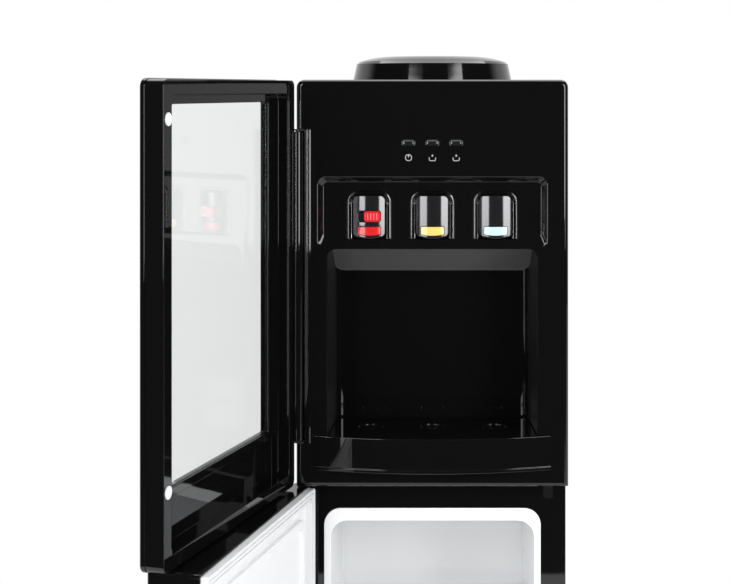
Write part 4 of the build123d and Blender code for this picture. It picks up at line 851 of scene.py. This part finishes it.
class COOLER_OT_works(Operator):
    """Dress the tanks, hoses, board and compressor inside"""

    bl_idname = "cooler.works"
    bl_label = "Works inside"

    def execute(self, context):
        dress("zinc_steel", "mid_deck", "tank_shelf")
        dress("steel_bright", "cold_tank", "hot_tank", "heater_band")
        dress("foam_cream", "cold_tank_foam")
        dress("seal_grey", "seat_seal")
        dress("hose_milk", "hose_cold", "hose_warm", "hose_hot", "hose_feed")
        dress("board_green", "control_board")
        dress("black_enamel", "compressor")
        dress("rubber_black", "compressor_feet")
        dress("copper", "filter_dryer")
        return {"FINISHED"}


class COOLER_OT_back(Operator):
    """Dress the condenser, switches, spout and cable inlet at the back"""

    bl_idname = "cooler.back"
    bl_label = "Back"

    def execute(self, context):
        dress("black_enamel", "condenser")
        dress("rubber_black", "switch_housings", "cord_inlet")
        dress("switch_red", "switch_hot")
        dress("switch_green", "switch_cold")
        dress("probe_white", "drain_spout")
        dress("seal_grey", "drain_cap")
        return {"FINISHED"}


class COOLER_OT_studio(Operator):
    """Set up the floor, the lamps, the surroundings and the camera"""

    bl_idname = "cooler.studio"
    bl_label = "Studio"

    # In shadow radii: where the floor that keeps the shadow fades to plain white, and how far back the
    # floor begins that shows white in mirrored views too.
    fade_start = 0.6
    fade_end = 1.25
    mirror_start = 0.5

    # The backward part of a mirrored ray's direction where the surroundings turn from dark to white.
    air_dark = 0.05
    air_white = 0.45

    def floor_finish(self, studio):
        """White to the camera and in mirrored views, and lit only near the object, where the shadow is."""
        material = bpy.data.materials.new("floor_white")
        material.use_nodes = True
        tree = material.node_tree
        shader = tree.nodes["Principled BSDF"]
        shader.inputs["Specular IOR Level"].default_value = 0.0
        shader.inputs["Roughness"].default_value = 0.8
        shader.inputs["Emission Color"].default_value = (1.0, 1.0, 1.0, 1.0)
        coordinates = node(tree, "ShaderNodeTexCoord").outputs["Object"]
        away = node(tree, "ShaderNodeVectorMath", {0: coordinates}, operation="LENGTH").outputs["Value"]
        fade = (studio.shadow * self.fade_start, studio.shadow * self.fade_end)
        plain = eased(tree, away, *fade, studio.shadow_lift, 1.0)
        path = node(tree, "ShaderNodeLightPath")
        split = node(tree, "ShaderNodeSeparateXYZ", {0: coordinates})
        back = worked_out(tree, "GREATER_THAN", split.outputs["Y"], studio.shadow * self.mirror_start)
        mirrored = worked_out(tree, "MULTIPLY", path.outputs["Is Glossy Ray"], back)
        shown = worked_out(tree, "MAXIMUM", seen_directly(tree, path), mirrored)
        lift = worked_out(tree, "MULTIPLY", shown, plain)
        shade = blend(tree, "RGBA", lift, (*studio.floor_shade, 1.0), (0.0, 0.0, 0.0, 1.0))
        tree.links.new(lift, shader.inputs["Emission Strength"])
        tree.links.new(shade, shader.inputs["Base Color"])
        return material

    def floor(self, studio):
        """A pale floor that ends in front of the object before it reaches the camera."""
        half = studio.floor / 2
        shape = bmesh.new()
        bmesh.ops.create_grid(shape, x_segments=1, y_segments=1, size=half)
        near = [corner for corner in shape.verts if corner.co.y < 0]
        bmesh.ops.translate(shape, verts=near, vec=(0, half - studio.floor_front, 0))
        mesh = bpy.data.meshes.new("floor")
        shape.to_mesh(mesh)
        shape.free()
        mesh.materials.append(self.floor_finish(studio))
        floor = bpy.data.objects.new("floor", mesh)
        bpy.context.scene.collection.objects.link(floor)

    def surroundings(self, studio):
        """White behind the object, dark behind the camera, and an even grey for diffuse light."""
        world = bpy.data.worlds.new("studio_air")
        bpy.context.scene.world = world
        world.use_nodes = True
        tree = world.node_tree
        background = tree.nodes["Background"]
        background.inputs["Color"].default_value = (1.0, 1.0, 1.0, 1.0)
        direction = node(tree, "ShaderNodeTexCoord").outputs["Generated"]
        split = node(tree, "ShaderNodeSeparateXYZ", {0: direction})
        back = eased(tree, split.outputs["Y"], self.air_dark, self.air_white, studio.dark_air, 1.0)
        path = node(tree, "ShaderNodeLightPath")
        lit = blend(tree, "FLOAT", path.outputs["Is Glossy Ray"], studio.air, back)
        level = blend(tree, "FLOAT", seen_directly(tree, path), lit, 1.0)
        tree.links.new(level, background.inputs["Strength"])

    def lamp(self, name, middle, aim, width, watts):
        """A soft area lamp aimed at a point."""
        light = bpy.data.lights.new(name, "AREA")
        light.shape = "RECTANGLE"
        light.size = width
        light.size_y = settings().studio.lamp_height
        light.energy = watts
        lamp = bpy.data.objects.new(name, light)
        lamp.location = middle
        lamp.rotation_euler = (Vector(aim) - Vector(middle)).to_track_quat("-Z", "Y").to_euler()
        bpy.context.scene.collection.objects.link(lamp)

    def camera(self, studio):
        """A level camera straight in front, with its lens shifted so that uprights stay upright."""
        camera = bpy.data.objects.new("camera", bpy.data.cameras.new("camera"))
        camera.data.lens = studio.lens
        camera.data.sensor_width = studio.sensor
        camera.data.shift_x = studio.shift_across
        camera.data.shift_y = studio.shift_up
        camera.location = (0.0, -studio.distance, studio.height)
        camera.rotation_euler = (radians(90.0), 0.0, 0.0)
        bpy.context.scene.collection.objects.link(camera)
        bpy.context.scene.camera = camera

    def execute(self, context):
        studio = settings().studio
        self.floor(studio)
        self.surroundings(studio)
        self.lamp("left_softbox", studio.left_place, studio.aim, studio.left_width, studio.left_power)
        self.lamp("right_softbox", studio.right_place, studio.aim, studio.right_width, studio.right_power)
        self.lamp("top_softbox", studio.top_place, studio.top_aim, studio.top_width, studio.top_power)
        self.camera(studio)
        bpy.context.scene.view_settings.view_transform = "Standard"
        return {"FINISHED"}


# ---------------------------------------------------------------------------
# Panel and registration
# ---------------------------------------------------------------------------

PIECES = (
    COOLER_OT_casing,
    COOLER_OT_front,
    COOLER_OT_lights,
    COOLER_OT_taps,
    COOLER_OT_tray,
    COOLER_OT_seat,
    COOLER_OT_upper_door,
    COOLER_OT_lower_door,
    COOLER_OT_cabinet,
    COOLER_OT_works,
    COOLER_OT_back,
    COOLER_OT_studio,
)


class COOLER_PT_pieces(Panel):
    """Lists the cooler's pieces and settings"""

    bl_idname = "COOLER_PT_pieces"
    bl_label = "Water Cooler"
    bl_space_type = "VIEW_3D"
    bl_region_type = "UI"
    bl_category = "Water Cooler"

    def draw(self, context):
        for piece in PIECES:
            self.layout.operator(piece.bl_idname)
        for group in (settings().colours, settings().sizes, settings().studio):
            column = self.layout.column(align=True)
            for key in group.__annotations__:
                column.prop(group, key)


CLASSES = (CoolerColours, CoolerSizes, CoolerStudio, CoolerSettings, *PIECES, COOLER_PT_pieces)


def register():
    """Registers the classes and the scene's settings."""
    for kind in CLASSES:
        bpy.utils.register_class(kind)
    bpy.types.Scene.water_cooler = PointerProperty(
        type=CoolerSettings, name="Water cooler", description="Settings of the cooler"
    )


def unregister():
    """Removes what register added."""
    del bpy.types.Scene.water_cooler
    for kind in reversed(CLASSES):
        bpy.utils.unregister_class(kind)


def main():
    """Builds the finishes and every piece in order."""
    register()
    make_finishes()
    for piece in PIECES:
        group, action = piece.bl_idname.split(".")
        getattr(getattr(bpy.ops, group), action)()


if __name__ == "__main__":
    main()
